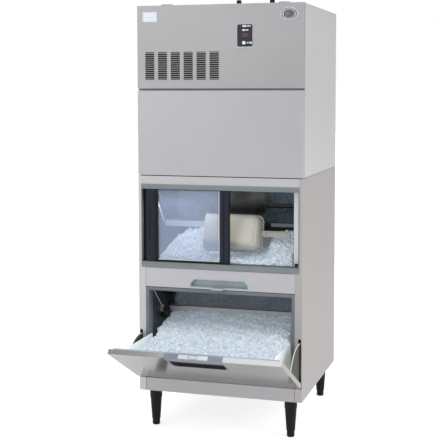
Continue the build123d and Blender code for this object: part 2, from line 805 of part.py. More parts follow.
# Head
def head_side():
    """Right side sheet of the head, with folded flanges at its front, top and rear."""
    wall = block(skin_inside, half, front_pan_depth, rear_inside, head_bottom, cover_bottom)
    inner = half - side_flange
    front = block(inner, half, front_pan_depth, front_pan_depth + sheet, head_bottom, cover_bottom)
    top = block(inner, half, front_pan_depth, rear_inside, cover_bottom - sheet, cover_bottom)
    rear = block(inner, half, rear_inside - sheet, rear_inside, head_bottom, cover_bottom)
    return wall + front + top + rear


def head_top_cover():
    """Top sheet with a flange at each side and at the rear."""
    cover = block(-half, half, front_pan_depth, depth, cover_bottom, head_top)
    cover = fillet(cover.faces().sort_by(Axis.Z)[-1].edges().filter_by(Axis.Y), fold_radius)
    return cover - block(sheet - half, half - sheet, front_pan_depth - sheet, depth - sheet,
                         cover_bottom - sheet, head_top - sheet)


def head_rear_panel():
    """Rear sheet with an outlet grille for the condenser's air and holes for the inlet and gland."""
    panel = block(-half, half, rear_inside, depth, head_bottom, cover_bottom)
    slot_x, slot_z = condenser_centre()
    for i in range(14):
        z = slot_z - 130 + i * 20
        slot = [(slot_x - 120, z), (slot_x + 120, z), (slot_x + 120, z + 7), (slot_x - 120, z + 7)]
        panel -= front_prism(slot, rear_inside - sheet, depth + sheet)
    for hole_x, radius in rear_ports():
        panel -= along_y(hole_x, head_bottom + port_height, radius + fit, rear_inside - sheet, depth + sheet)
    return panel


def rear_ports():
    return [(half - inlet_inset, inlet_radius), (half - gland_inset, gland_radius)]


def water_inlet():
    """Threaded water inlet with a hexagon behind the rear sheet."""
    x = rear_ports()[0][0]
    z = head_bottom + port_height
    spigot = along_y(x, z, inlet_radius, depth + sheet, depth + inlet_length)
    spigot = chamfer(spigot.edges().sort_by(Axis.Y)[-1], 1)
    spigot += along_y(x, z, inlet_radius - fit, rear_inside - 6, depth + sheet)
    nut = Pos(x, rear_inside, z) * Rot(90, 0, 0) * extrude(RegularPolygon(inlet_radius * 1.6, 6), amount=10)
    bore = along_y(x, z, inlet_radius - 3, rear_inside - 20, depth + inlet_length + 1)
    return spigot + nut - bore


def cord_gland():
    x = rear_ports()[1][0]
    z = head_bottom + port_height
    ring = along_y(x, z, gland_radius, rear_inside - 8, depth + 1)
    lip = along_y(x, z, gland_radius * 1.5, depth, depth + 4)
    nut = Pos(x, rear_inside, z) * Rot(90, 0, 0) * extrude(RegularPolygon(gland_radius * 1.6, 6), amount=10)
    return ring + lip + nut - along_y(x, z, gland_radius - 4, rear_inside - 20, depth + 5)


def head_lower_panel():
    return front_pan(-half, half, 0, front_pan_depth, head_bottom, lower_panel_top)


def louvre_blade(x, z):
    """Slanted blade of the louvres: it joins the sheet at both ends and leans out at its lower edge."""
    top = z + louvre_height
    outline = [(sheet, top), (sheet, top - sheet), (-louvre_stand, z - sheet), (-louvre_stand, z)]
    return side_prism(outline, x - fit, x + louvre_width + fit)


def head_upper_panel():
    """Upper front pan with columns of louvres at its left and the hole for the control plate."""
    pan = front_pan(-half, half, 0, front_pan_depth, upper_panel_bottom, head_top)
    low = upper_panel_bottom + louvre_bottom
    high = low + louvre_rows * louvre_pitch_z
    blades = []
    for column in range(louvre_columns):
        x = louvre_left + column * louvre_pitch_x
        pan -= block(x, x + louvre_width, -sheet, sheet * 2, low, high)
        blades += [louvre_blade(x, low + (row + 0.4) * louvre_pitch_z) for row in range(louvre_rows)]
    return pan + blades - control_blank(fit, -sheet * 6, sheet * 3)


def control_blank(grow, y0, y1):
    x0 = control_left - grow
    x1 = control_left + control_width + grow
    z0 = upper_panel_bottom + control_rise - grow
    z1 = z0 + control_height + grow * 2
    return front_prism([(x0, z0), (x1, z0), (x1, z1), (x0, z1)], y0, y1, 6)


def control_bezel():
    """Thin light frame round the control plate."""
    ring = control_blank(0, -control_plate, sheet * 2)
    return ring - control_blank(-control_border, -sheet * 6, sheet * 6)


def button_place():
    return control_left + button_x, upper_panel_bottom + control_rise + button_rise


def control_window():
    """Dark display plate with a bore for the button."""
    plate = control_blank(-control_border - fit / 2, sheet - control_plate, sheet * 2)
    x, z = button_place()
    return plate - along_y(x, z, button_radius + fit, -sheet * 6, sheet * 6)


def power_button():
    """Round push button with a collar behind the plate."""
    x, z = button_place()
    cap = along_y(x, z, button_radius, -control_plate - 1.5, sheet * 2 + 3)
    cap = chamfer(cap.edges().sort_by(Axis.Y)[0], 1)
    return cap + along_y(x, z, button_radius + 2, sheet * 2 + fit, sheet * 2 + 3)


def button_switch():
    """Switch block behind the display plate, with the well that the button moves in."""
    x, z = button_place()
    x0, x1 = control_left + 6, control_left + control_width - 6
    z0 = upper_panel_bottom + control_rise + 6
    body = block(x0, x1, sheet * 2, sheet * 2 + 14, z0, z0 + control_height - 12)
    return body - along_y(x, z, button_radius + 3, sheet, sheet * 2 + 3 + button_travel + fit)


def condenser_centre():
    return condenser_inset - half, upper_panel_bottom + condenser_rise


def condenser_front():
    return front_pan_depth + condenser_gap


def fan_plane():
    """Front of the fan's plate, just behind the coil's end plates."""
    return condenser_front() + condenser_depth + condenser_plate + fit


def air_filter():
    """Fine mesh frame behind the louvres."""
    x0 = louvre_left - 12
    x1 = louvre_left + (louvre_columns - 1) * louvre_pitch_x + louvre_width + 12
    z0 = upper_panel_bottom + louvre_bottom - 12
    z1 = z0 + louvre_rows * louvre_pitch_z + 24
    frame = block(x0, x1, sheet + fit, sheet + 6, z0, z1)
    opening = block(x0 + 8, x1 - 8, 0, 9, z0 + 8, z1 - 8)
    frame -= opening
    mesh = block(x0 + 7, x1 - 7, sheet + 3, sheet + 4, z0 + 7, z1 - 7)
    ribs = [block(x0 + 7, x1 - 7, sheet + 2, sheet + 5, z0 + (z1 - z0) * k / 3 - 1.5,
                  z0 + (z1 - z0) * k / 3 + 1.5) for k in (1, 2)]
    return frame + mesh + ribs


def condenser():
    """Finned coil block with its end plates and return bends."""
    cx, cz = condenser_centre()
    w, h = condenser_width, condenser_height
    y0 = condenser_front()
    core = block(cx - w / 2, cx + w / 2, y0, y0 + condenser_depth, cz - h / 2, cz + h / 2)
    pitch = w / condenser_fins
    gaps = []
    for i in range(condenser_fins):
        x = cx - w / 2 + (i + 0.5) * pitch
        gaps.append(block(x - pitch * 0.28, x + pitch * 0.28, y0 - 1, y0 + condenser_depth / 2 - 3,
                          cz - h / 2 + 6, cz + h / 2 - 6))
    core = core - gaps
    t = condenser_plate
    plates = [block(cx + s * w / 2 - t / 2, cx + s * w / 2 + t / 2, y0 - t, y0 + condenser_depth + t,
                    tray_floor, cz + h / 2 + t * 2.5) for s in (-1, 1)]
    mid = y0 + condenser_depth / 2
    rows = condenser_bends
    heights = [cz + (k - (rows - 1) / 2) * h / rows for k in range(rows)]
    bends = [block(cx + w / 2, cx + w / 2 + t * 3.5, mid - t, mid + t, z - t * 3, z + t * 3) for z in heights]
    return core + plates + bends


def fan_shroud():
    """Square plate behind the coil with a drawn ring round the fan and the motor's three arms."""
    cx, cz = condenser_centre()
    y0 = fan_plane()
    plate = block(cx - 142, cx + 142, y0, y0 + 2, cz - 125, cz + 125)
    ring = along_y(cx, cz, fan_radius + fan_tip_gap + 2, y0, y0 + 40)
    bore = along_y(cx, cz, fan_radius + fan_tip_gap, y0 - 1, y0 + 41)
    arms = []
    for k in range(3):
        arm = Pos(0, y0 + 37, fan_radius / 2 + 14) * Box(8, 4, fan_radius - 10)
        arms.append(Pos(cx, 0, cz) * Rot(0, 120 * k, 0) * arm)
    carrier = block(cx - 28, cx + 28, y0 + 35, y0 + 39, cz - 28, cz + 28)
    carrier -= along_y(cx, cz, 14, y0, y0 + 60)
    feet = [block(cx + s * 136 - 6, cx + s * 136 + 6, y0, y0 + 20, tray_floor, cz - 120)
            for s in (-1, 1)]
    return plate + ring - bore + arms + carrier + feet


def fan_motor():
    cx, cz = condenser_centre()
    y0 = fan_plane()
    body = along_y(cx, cz, 38, y0 + 39, y0 + 89)
    body = chamfer(body.edges().sort_by(Axis.Y)[-1], 6)
    return body + along_y(cx, cz, 4, y0 + 12, y0 + 40)


def fan_blades():
    """Five pitched blades on a hub."""
    cx, cz = condenser_centre()
    y0 = fan_plane()
    hub = along_y(0, 0, fan_hub_radius, y0 + 8, y0 + 30)
    hub = chamfer(hub.edges().sort_by(Axis.Y)[0], 4)
    blade = Pos(0, y0 + 19, (fan_radius + fan_hub_radius) / 2 - 2) * Rot(0, 0, 28)
    blade = blade * Box(56, 2.4, fan_radius - fan_hub_radius + 4)
    rotor = hub
    for k in range(fan_blade_count):
        rotor = rotor + Rot(0, 360 / fan_blade_count * k, 0) * blade
    rotor &= along_y(0, 0, fan_radius, y0, y0 + 60)
    return Pos(cx, 0, cz) * (rotor - along_y(0, 0, 4 + fit, y0, y0 + 60))


def compressor():
    """Hermetic compressor: a drawn can on a foot plate with rubber mounts."""
    x, y = half - compressor_inset_side, depth - compressor_inset_rear
    r, h = compressor_radius, compressor_height
    low = tray_floor + compressor_stand
    can = Pos(x, y, low + h / 2) * Cylinder(r, h)
    can = chamfer(can.edges().sort_by(Axis.Z)[-1], 30)
    can = chamfer(can.edges().sort_by(Axis.Z)[0], 14)
    seam = Pos(x, y, low + h * 0.5) * Cylinder(r + 4, 6)
    plate = Pos(x, y, low + 1) * Box(r * 2.1, r * 2.1, 4)
    plate = chamfer(plate.edges().filter_by(Axis.Z), 12)
    mounts = [Pos(x + sx * r * 0.86, y + sy * r * 0.86, (tray_floor + low) / 2) * Box(22, 22, low - tray_floor)
              for sx in (-1, 1) for sy in (-1, 1)]
    terminal = Pos(x, y - r + 2, low + h * 0.62) * Box(44, 24, 50)
    return can + seam + plate + mounts + terminal


def evaporator_box():
    x0 = evaporator_left
    y0 = evaporator_front
    z0 = head_bottom + evaporator_rise
    return x0, x0 + evaporator_width, y0, y0 + evaporator_depth, z0, z0 + evaporator_height


def tray_hinge():
    """Where the water tray turns: to the right of the cells, a little below their mouths."""
    x0, x1, y0, y1, z0, z1 = evaporator_box()
    return x1 + tray_hinge_radius * 2, z0 - water_tray_gap - tray_hinge_radius * 2


def evaporator():
    """Freezing plate: a block of downward cells, with the refrigerant coil over it and its two posts."""
    x0, x1, y0, y1, z0, z1 = evaporator_box()
    plate = block(x0, x1, y0, y1, z0, z1)
    columns = int(evaporator_width / cell_pitch)
    rows = int(evaporator_depth / cell_pitch)
    size = cell_pitch - cell_wall
    edge = (evaporator_depth - rows * cell_pitch) / 2
    cells = []
    for i in range(columns):
        for j in range(rows):
            cells.append(Pos(x0 + (i + 0.5) * cell_pitch, y0 + edge + (j + 0.5) * cell_pitch, z0 + size / 2 - 1)
                         * Box(size, size, size))
    plate = plate - cells
    coil = [along_x(y0 + coil_pitch * (k + 0.75), z1 + coil_radius - 1, coil_radius, x0 + 10, x1 - 10)
            for k in range(int(evaporator_depth / coil_pitch))]
    mid = (y0 + y1) / 2
    gap = drop_margin + tray_hinge_radius * 2
    posts = []
    for side, edge_x in ((-1, x0), (1, x1)):
        a, b = sorted((edge_x + side * gap, edge_x + side * (gap + 8)))
        posts.append(block(a, b, mid - 20, mid + 20, tray_floor, z1 - 4))
        a, b = sorted((edge_x, edge_x + side * (gap + 8)))
        posts.append(block(a, b, mid - 20, mid + 20, z1 - 20, z1 - 4))
    hinge_x, hinge_height = tray_hinge()
    r = tray_hinge_radius
    eye = block(hinge_x - r, x1 + gap + 1, mid - 4, mid + 4, hinge_height - r * 2, hinge_height + r * 2)
    rod = along_y(hinge_x, hinge_height, r, mid - 26, mid + 26)
    return plate + coil + posts + eye + rod


def water_tray():
    """Tilting water tray under the cells, on two lugs at its right end."""
    x0, x1, y0, y1, z0, z1 = evaporator_box()
    top = z0 - water_tray_gap
    low = top - water_tray_height
    edge = 4.0
    tray = block(x0 + edge, x1 - edge, y0, y1, low, top)
    tray = fillet(tray.edges().filter_by(Axis.Z), 8)
    tray -= block(x0 + edge + 3, x1 - edge - 3, y0 + 3, y1 - 3, low + 3, top + 1)
    jets = [block(x0 + edge + 2, x1 - edge - 2, y0 + 27 + k * 40, y0 + 33 + k * 40, low + 2, low + 15)
            for k in range(5)]
    hinge_x, hinge_height = tray_hinge()
    mid = (y0 + y1) / 2
    r = tray_hinge_radius
    lugs = [block(x1 - edge - 2, hinge_x + r * 1.4, mid + s * 16 - 3, mid + s * 16 + 3, hinge_height - r * 1.5,
                  hinge_height + r * 1.5) for s in (-1, 1)]
    return tray + jets + lugs - along_y(hinge_x, hinge_height, r + fit, mid - 30, mid + 30)


def circulation_pump():
    x, y = half - pump_inset, evaporator_front + 50
    z = tray_floor
    base = Pos(x, y, z + 20) * Box(70, 60, 40)
    base = chamfer(base.edges().filter_by(Axis.Z), 6)
    motor = Pos(x, y, z + 75) * Cylinder(26, 72)
    motor = chamfer(motor.edges().sort_by(Axis.Z)[-1], 6)
    spout = along_x(y, z + 18, 8, x - 70, x - 30)
    return base + motor + spout


def control_box():
    """Sheet box for the circuit board, on the right side wall's front flange."""
    x0, x1 = half - control_box_width, half - sheet
    y0 = front_pan_depth + sheet
    z0 = upper_panel_bottom + control_box_rise
    box = block(x0, x1, y0, y0 + control_box_depth, z0, z0 + control_box_height)
    return fillet(box.edges().filter_by(Axis.Z), 4)


def head_base_tray():
    """Floor of the head: a folded tray with the hole that the ice drops through."""
    y0, y1 = front_pan_depth + sheet, rear_inside - sheet
    w = skin_inside
    tray = block(-w, w, y0, y1, bin_top, bin_top + tray_rim)
    tray -= block(tray_sheet - w, w - tray_sheet, y0 + tray_sheet, y1 - tray_sheet, tray_floor,
                  bin_top + tray_rim + 1)
    x0, x1, front, back, z0, z1 = evaporator_box()
    return tray - block(x0 - drop_margin, x1 + drop_margin, front - drop_margin, back + drop_margin,
                        bin_top - 1, tray_floor + 1)


def top_knob(inset):
    stem = Pos(half - inset, front_pan_depth + knob_radius * 2.4, head_top + knob_height / 2)
    stem = stem * Cylinder(knob_radius, knob_height)
    return chamfer(stem.edges().sort_by(Axis.Z)[-1], knob_radius / 4)


def top_cap(x):
    cap = Pos(x, front_pan_depth + cap_radius * 1.2, head_top + cap_height / 2)
    cap = cap * Cylinder(cap_radius, cap_height)
    return chamfer(cap.edges().sort_by(Axis.Z)[-1], cap_height / 4)


right_sash_x = -window_half + fit + window_jamb + fit
left_sash_x = right_sash_x + left_window_slid

right_side = bin_right_side()
parts["bin_right_side"] = right_side
parts["bin_left_side"] = mirrored(right_side)
parts["bin_rear_panel"] = bin_rear_panel()
parts["bin_bottom_plate"] = bin_bottom_plate()
parts["insulation"] = insulation()
parts["bin_liner"] = bin_liner()
parts["drain_pipe"] = drain_pipe()
parts["base_panel"] = base_panel()
parts["top_strip"] = top_strip()
parts["mid_panel"] = mid_panel()
parts["pull_recess"] = pull_recess()
parts["strike_plate"] = strike_plate()
parts["opening_frame"] = opening_frame()
parts["window_frame"] = window_frame()
parts["left_sash"] = sash(left_sash_x, front_track, pull_stile, meeting_stile) - pull_groove(
    left_sash_x + pull_stile / 2, front_track)
parts["left_glass"] = glass(left_sash_x, front_track, pull_stile, meeting_stile)
parts["right_sash"] = sash(right_sash_x, rear_track, rear_far_stile, rear_pull_stile)
parts["right_glass"] = glass(right_sash_x, rear_track, rear_far_stile, rear_pull_stile)
parts["flap_outer_panel"] = open_flap(flap_outer_panel())
parts["flap_inner_pan"] = open_flap(flap_inner_pan())
parts["flap_handle"] = open_flap(flap_handle())
parts["flap_latch"] = open_flap(flap_latch())
parts["flap_stays"] = open_flap(stay(1) + stay(-1))
parts["hinge_pins"] = hinge_pin(1) + hinge_pin(-1)
parts["legs"] = leg(0) + leg(1) + leg(2) + leg(3)
for i, name in enumerate(("front_left", "front_right", "rear_left", "rear_right")):
    parts[name + "_foot"] = foot(i)
parts["ice_deflector"] = ice_deflector()
parts["ice_partition"] = ice_partition()
parts["bin_sensor"] = bin_sensor()
parts["stored_ice"] = stored_ice()
parts["loose_ice"] = loose_ice()
parts["scoop"] = scoop()
parts["head_base_tray"] = head_base_tray()
head_right = head_side()
parts["head_right_side"] = head_right
parts["head_left_side"] = mirrored(head_right)
parts["head_top_cover"] = head_top_cover()
parts["head_rear_panel"] = head_rear_panel()
parts["head_lower_panel"] = head_lower_panel()
parts["head_upper_panel"] = head_upper_panel()
parts["control_bezel"] = control_bezel()
parts["control_window"] = control_window()
parts["power_button"] = power_button()
parts["button_switch"] = button_switch()
parts["air_filter"] = air_filter()
parts["condenser"] = condenser()
parts["fan_shroud"] = fan_shroud()
parts["fan_motor"] = fan_motor()
parts["fan_blades"] = fan_blades()
parts["compressor"] = compressor()
parts["evaporator"] = evaporator()
parts["water_tray"] = water_tray()
parts["circulation_pump"] = circulation_pump()
parts["control_box"] = control_box()
parts["water_inlet"] = water_inlet()
parts["cord_gland"] = cord_gland()
parts["top_knobs"] = top_knob(knob_insets[0]) + top_knob(knob_insets[1])
parts["top_caps"] = top_cap(cap_insets[0] - half) + top_cap(half - cap_insets[1])

# The footprint's middle becomes the origin
boxes = [shape.bounding_box() for shape in parts.values()]
middle_y = (min(b.min.Y for b in boxes) + max(b.max.Y for b in boxes)) / 2
print("footprint middle y", middle_y)

os.makedirs("parts", exist_ok=True)
for name, shape in parts.items():
    export_step(Pos(0, -middle_y, 0) * shape, "parts/" + name + ".step")
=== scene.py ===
import math
import random

import bmesh
import bpy
from mathutils import Matrix, Vector


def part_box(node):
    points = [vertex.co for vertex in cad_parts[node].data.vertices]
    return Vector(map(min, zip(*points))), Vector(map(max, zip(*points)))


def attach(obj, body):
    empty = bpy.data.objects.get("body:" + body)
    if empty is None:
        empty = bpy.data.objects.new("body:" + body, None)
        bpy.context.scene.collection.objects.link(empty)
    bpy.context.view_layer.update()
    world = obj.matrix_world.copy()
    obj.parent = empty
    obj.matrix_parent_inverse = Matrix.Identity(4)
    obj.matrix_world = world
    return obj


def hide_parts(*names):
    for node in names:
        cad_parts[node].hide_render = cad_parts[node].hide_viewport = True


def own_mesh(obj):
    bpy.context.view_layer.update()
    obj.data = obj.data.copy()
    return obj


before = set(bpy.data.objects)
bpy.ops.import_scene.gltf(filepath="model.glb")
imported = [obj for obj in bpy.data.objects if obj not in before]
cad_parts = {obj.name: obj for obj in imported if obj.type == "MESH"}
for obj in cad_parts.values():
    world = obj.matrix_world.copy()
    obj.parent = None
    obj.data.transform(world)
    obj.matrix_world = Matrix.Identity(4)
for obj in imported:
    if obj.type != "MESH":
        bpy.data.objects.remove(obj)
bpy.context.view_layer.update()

# The front plane of the cabinet is read from the CAD, in metres. Every loose piece below is set out from it
# in mm: x from the middle, y back from that plane, z up from the floor.
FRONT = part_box("base_panel")[0].y
MM = 0.001


def at(x, y, z):
    """A point in millimetres from the cabinet's middle, its front plane and the floor."""
    return Vector((x * MM, FRONT + y * MM, z * MM))


# Studio: a white floor that runs to the horizon, a camera at eye height to the right of the machine,
# and three large soft boxes. The front is in the softer light and the right side is the brighter one.
camera = bpy.data.objects.new("camera", bpy.data.cameras.new("camera"))
bpy.context.scene.collection.objects.link(camera)
camera.location = at(1244, -4106, 1422)
camera.rotation_euler = (math.radians(85.51), math.radians(0.064), math.radians(16.57))
camera.data.sensor_width = 36
camera.data.lens = 86.42
camera.data.shift_x = -0.0085
camera.data.shift_y = -0.107
camera.data.clip_end = 60
bpy.context.scene.camera = camera
bpy.context.scene.view_settings.view_transform = "Standard"


def srgb(r, g, b):
    """Screen colour, 0 to 255, as the linear colour that the shader takes."""
    return tuple(((c / 255 + 0.055) / 1.055) ** 2.4 if c > 10 else c / 255 / 12.92 for c in (r, g, b)) + (1.0,)


def new_material(name):
    """A material with its shader, and a way to add nodes to it."""
    material = bpy.data.materials.new(name)
    material.use_nodes = True
    return material, material.node_tree, material.node_tree.nodes["Principled BSDF"]


def mesh_object(name, bm, material, smooth=True):
    """Turns a bmesh into a piece with one material."""
    mesh = bpy.data.meshes.new(name)
    bm.normal_update()
    bm.to_mesh(mesh)
    bm.free()
    for face in mesh.polygons:
        face.use_smooth = smooth
    mesh.materials.append(material)
    piece = bpy.data.objects.new(name, mesh)
    bpy.context.scene.collection.objects.link(piece)
    return piece


def soft_box(name, place, target, size, power):
    """Rectangular area light, turned from its place to a target."""
    data = bpy.data.lights.new(name, "AREA")
    data.shape = "RECTANGLE"
    data.size, data.size_y = size
    data.energy = power
    lamp = bpy.data.objects.new(name, data)
    bpy.context.scene.collection.objects.link(lamp)
    lamp.location = place
    lamp.rotation_euler = (target - place).to_track_quat("-Z", "Y").to_euler()


soft_box("key_light", at(4200, -1200, 2600), at(0, 300, 900), (2.6, 2.6), 60)
soft_box("fill_light", at(-3000, -4600, 2600), at(0, 0, 900), (3.4, 3.0), 45)
soft_box("top_light", at(0, -1500, 4400), at(0, 0, 500), (3.0, 3.0), 45)

# Two strips of soft light behind the window's head stand in for the studio light that bounces about in the
# upper bin. They show neither to the camera nor in the polished sheets.
for name, x, width, power in (("bin_light", 0, 0.56, 0.1), ("left_bin_light", -200, 0.16, 0.8)):
    soft_box(name, at(x, 36, 990), at(x, 160, 750), (width, 0.02), power)
    bpy.data.objects[name].visible_camera = False
    bpy.data.objects[name].visible_glossy = False

world = bpy.data.worlds.new("studio")
bpy.context.scene.world = world
world.use_nodes = True
sky = world.node_tree
sky.nodes["Background"].inputs["Color"].default_value = (1, 1, 1, 1)
seen = sky.nodes.new("ShaderNodeLightPath")
paper_white = sky.nodes.new("ShaderNodeMapRange")
paper_white.inputs["To Min"].default_value = 0.55
paper_white.inputs["To Max"].default_value = 1.0
sky.links.new(seen.outputs["Is Camera Ray"], paper_white.inputs["Value"])
sky.links.new(paper_white.outputs[0], sky.nodes["Background"].inputs["Strength"])

paper, tree, shader = new_material("studio_paper")
shader.inputs["Base Color"].default_value = (0.96, 0.96, 0.96, 1)
shader.inputs["Roughness"].default_value = 0.9
shader.inputs["Emission Color"].default_value = (1, 1, 1, 1)
seen = tree.nodes.new("ShaderNodeLightPath")
glow = tree.nodes.new("ShaderNodeMapRange")
glow.inputs["To Min"].default_value = 0.28
glow.inputs["To Max"].default_value = 0.62
tree.links.new(seen.outputs["Is Camera Ray"], glow.inputs["Value"])
tree.links.new(glow.outputs[0], shader.inputs["Emission Strength"])
sweep = bmesh.new()
bmesh.ops.create_grid(sweep, x_segments=1, y_segments=1, size=30)
floor = mesh_object("floor", sweep, paper, smooth=False)


# Shared surface effects. Grain is the fine hairline of rolled sheet, mottle is the soft cloudiness of
# handled metal and moulded plastic, pebble is the fine texture of a mould, and a painted highlight
# lightens sharp edges.
def effect_group(name, inputs, outputs):
    """An empty node group with number inputs, given as (label, default), and outputs."""
    group = bpy.data.node_groups.new(name, "ShaderNodeTree")
    for label, value in inputs:
        socket = group.interface.new_socket(label, in_out="INPUT", socket_type="NodeSocketFloat")
        socket.default_value = value
    for label in outputs:
        group.interface.new_socket(label, in_out="OUTPUT", socket_type="NodeSocketFloat")
    return group, group.nodes.new("NodeGroupInput"), group.nodes.new("NodeGroupOutput")


def math_node(tree, operation, a, b):
    """Sum, product and so on of two values, each a number or a node's output."""
    node = tree.nodes.new("ShaderNodeMath")
    node.operation = operation
    for socket, value in zip(node.inputs, (a, b)):
        if isinstance(value, (int, float)):
            socket.default_value = value
        else:
            tree.links.new(value, socket)
    return node.outputs[0]


def stretched_noise(tree, stretch, scale, detail=3.0):
    """Noise over the piece's own coordinates, drawn out along the axes that stretch makes small."""
    place = tree.nodes.new("ShaderNodeTexCoord")
    mapping = tree.nodes.new("ShaderNodeMapping")
    mapping.inputs["Scale"].default_value = stretch
    tree.links.new(place.outputs["Object"], mapping.inputs["Vector"])
    noise = tree.nodes.new("ShaderNodeTexNoise")
    noise.inputs["Detail"].default_value = detail
    tree.links.new(mapping.outputs["Vector"], noise.inputs["Vector"])
    tree.links.new(scale, noise.inputs["Scale"])
    return noise.outputs["Fac"]


def grain_effect(name, stretch):
    """Hairline grain as an effect, drawn out along one axis."""
    group, given, result = effect_group(name, (("Scale", 60.0), ("Depth", 0.5)), ("Height", "Tone"))
    lines = stretched_noise(group, stretch, given.outputs["Scale"])
    deep = math_node(group, "MULTIPLY", lines, given.outputs["Depth"])
    group.links.new(deep, result.inputs["Height"])
    group.links.new(lines, result.inputs["Tone"])
    return group


upright_grain = grain_effect("upright_grain", (9.0, 9.0, 0.12))
level_grain = grain_effect("level_grain", (0.12, 9.0, 9.0))

mottle, given, result = effect_group("mottle", (("Scale", 4.0), ("Spread", 1.0)), ("Tone",))
cloud = stretched_noise(mottle, (1, 1, 1), given.outputs["Scale"], 2.0)
centred = math_node(mottle, "SUBTRACT", cloud, 0.5)
spread = math_node(mottle, "MULTIPLY", centred, given.outputs["Spread"])
mottle.links.new(math_node(mottle, "ADD", spread, 0.5), result.inputs["Tone"])

pebble, given, result = effect_group("pebble", (("Scale", 900.0), ("Depth", 0.5)), ("Height",))
place = pebble.nodes.new("ShaderNodeTexCoord")
cells = pebble.nodes.new("ShaderNodeTexVoronoi")
pebble.links.new(place.outputs["Object"], cells.inputs["Vector"])
pebble.links.new(given.outputs["Scale"], cells.inputs["Scale"])
low = math_node(pebble, "MULTIPLY", cells.outputs["Distance"], given.outputs["Depth"])
pebble.links.new(low, result.inputs["Height"])

# Painted highlight: colour lightened along sharp edges, by how pointed the mesh is there.
edge_highlight, given, result = effect_group("edge_highlight", (("From", 0.52), ("Gain", 8.0)), ("Mask",))
geometry = edge_highlight.nodes.new("ShaderNodeNewGeometry")
above = math_node(edge_highlight, "SUBTRACT", geometry.outputs["Pointiness"], given.outputs["From"])
sharp = math_node(edge_highlight, "MULTIPLY", above, given.outputs["Gain"])
clamp = edge_highlight.nodes.new("ShaderNodeClamp")
edge_highlight.links.new(sharp, clamp.inputs["Value"])
edge_highlight.links.new(clamp.outputs[0], result.inputs["Mask"])


def use(tree, group, **values):
    """Puts an effect into a material, with values for its inputs."""
    node = tree.nodes.new("ShaderNodeGroup")
    node.node_tree = group
    for label, value in values.items():
        node.inputs[label].default_value = value
    return node


def between(tree, mask, low, high):
    """Colour that runs from low to high with a mask."""
    mix = tree.nodes.new("ShaderNodeMix")
    mix.data_type = "RGBA"
    for socket, value in ((mix.inputs[6], low), (mix.inputs[7], high)):
        if isinstance(value, tuple):
            socket.default_value = value
        else:
            tree.links.new(value, socket)
    tree.links.new(mask, mix.inputs[0])
    return mix.outputs[2]


def span(tree, value, low, high):
    """A value from 0 to 1 mapped to a range."""
    node = tree.nodes.new("ShaderNodeMapRange")
    node.inputs["To Min"].default_value = low
    node.inputs["To Max"].default_value = high
    tree.links.new(value, node.inputs["Value"])
    return node.outputs[0]


def bump(tree, shader, height, strength, distance):
    """Fine relief of a surface, in metres."""
    node = tree.nodes.new("ShaderNodeBump")
    node.inputs["Strength"].default_value = strength
    node.inputs["Distance"].default_value = distance
    tree.links.new(height, node.inputs["Height"])
    tree.links.new(node.outputs["Normal"], shader.inputs["Normal"])


def sheet_metal(name, dark, light, metallic, smooth, rough, grain=upright_grain, depth=0.25):
    """Rolled sheet: hairline grain, cloudy tone and roughness, and a painted highlight on sharp edges."""
    material, tree, shader = new_material(name)
    clouds = use(tree, mottle, Scale=3.0, Spread=1.4)
    lines = use(tree, grain, Scale=70.0, Depth=0.5)
    edge_glint = use(tree, edge_highlight, From=0.53, Gain=6.0)
    tone = math_node(tree, "MULTIPLY", lines.outputs["Tone"], 0.35)
    tone = math_node(tree, "ADD", tone, math_node(tree, "MULTIPLY", clouds.outputs["Tone"], 0.65))
    base = between(tree, tone, dark, light)
    # Painted highlight along sharp edges.
    glint_share = math_node(tree, "MULTIPLY", edge_glint.outputs["Mask"], 0.12)
    glint_colour = tuple(min(1.0, c * 1.5) for c in light[:3]) + (1.0,)
    tree.links.new(between(tree, glint_share, base, glint_colour), shader.inputs["Base Color"])
    tree.links.new(span(tree, tone, smooth, rough), shader.inputs["Roughness"])
    shader.inputs["Metallic"].default_value = metallic
    bump(tree, shader, lines.outputs["Height"], depth, 0.0004)
    return material


def moulding(name, dark, light, smooth, rough, coat=0.0, depth=0.2, scale=900.0, shine=0.5):
    """Moulded plastic: slight cloudiness, a pebbled skin and edges that catch the light."""
    material, tree, shader = new_material(name)
    clouds = use(tree, mottle, Scale=9.0, Spread=1.6)
    skin = use(tree, pebble, Scale=scale, Depth=0.6)
    edge_glint = use(tree, edge_highlight, From=0.53, Gain=5.0)
    base = between(tree, clouds.outputs["Tone"], dark, light)
    # Painted highlight along sharp edges.
    glint_share = math_node(tree, "MULTIPLY", edge_glint.outputs["Mask"], 0.3)
    glint_colour = tuple(min(1.0, c * 1.6 + 0.02) for c in light[:3]) + (1.0,)
    tree.links.new(between(tree, glint_share, base, glint_colour), shader.inputs["Base Color"])
    tree.links.new(span(tree, clouds.outputs["Tone"], smooth, rough), shader.inputs["Roughness"])
    shader.inputs["Coat Weight"].default_value = coat
    shader.inputs["Specular IOR Level"].default_value = shine
    shader.inputs["Coat Roughness"].default_value = 0.12
    bump(tree, shader, skin.outputs["Height"], depth, 0.0002)
    return material


def dress(material, *names):
    """Gives a material to nodes of the CAD."""
    for name in names:
        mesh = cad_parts[name].data
        mesh.materials.clear()
        mesh.materials.append(material)


# Cabinet sheets: satin stainless with an upright hairline grain, folded at the corners. Each sheet gets a
# tone of its own, painted light and shade set for how that sheet is lit, so the head, the bin and the base
# differ a little in tone. The flap is grained across and glossy enough to mirror the base panel.
def satin(name, low, high, tint=(0, 0, 0), metallic=0.45, smooth=0.34, rough=0.44, grain=upright_grain):
    """Sheet metal between two greys of 0 to 255, each with the same tint added."""
    dark = srgb(low + tint[0], low + tint[1], low + tint[2])
    light = srgb(high + tint[0], high + tint[1], high + tint[2])
    return sheet_metal(name, dark, light, metallic, smooth, rough, grain)
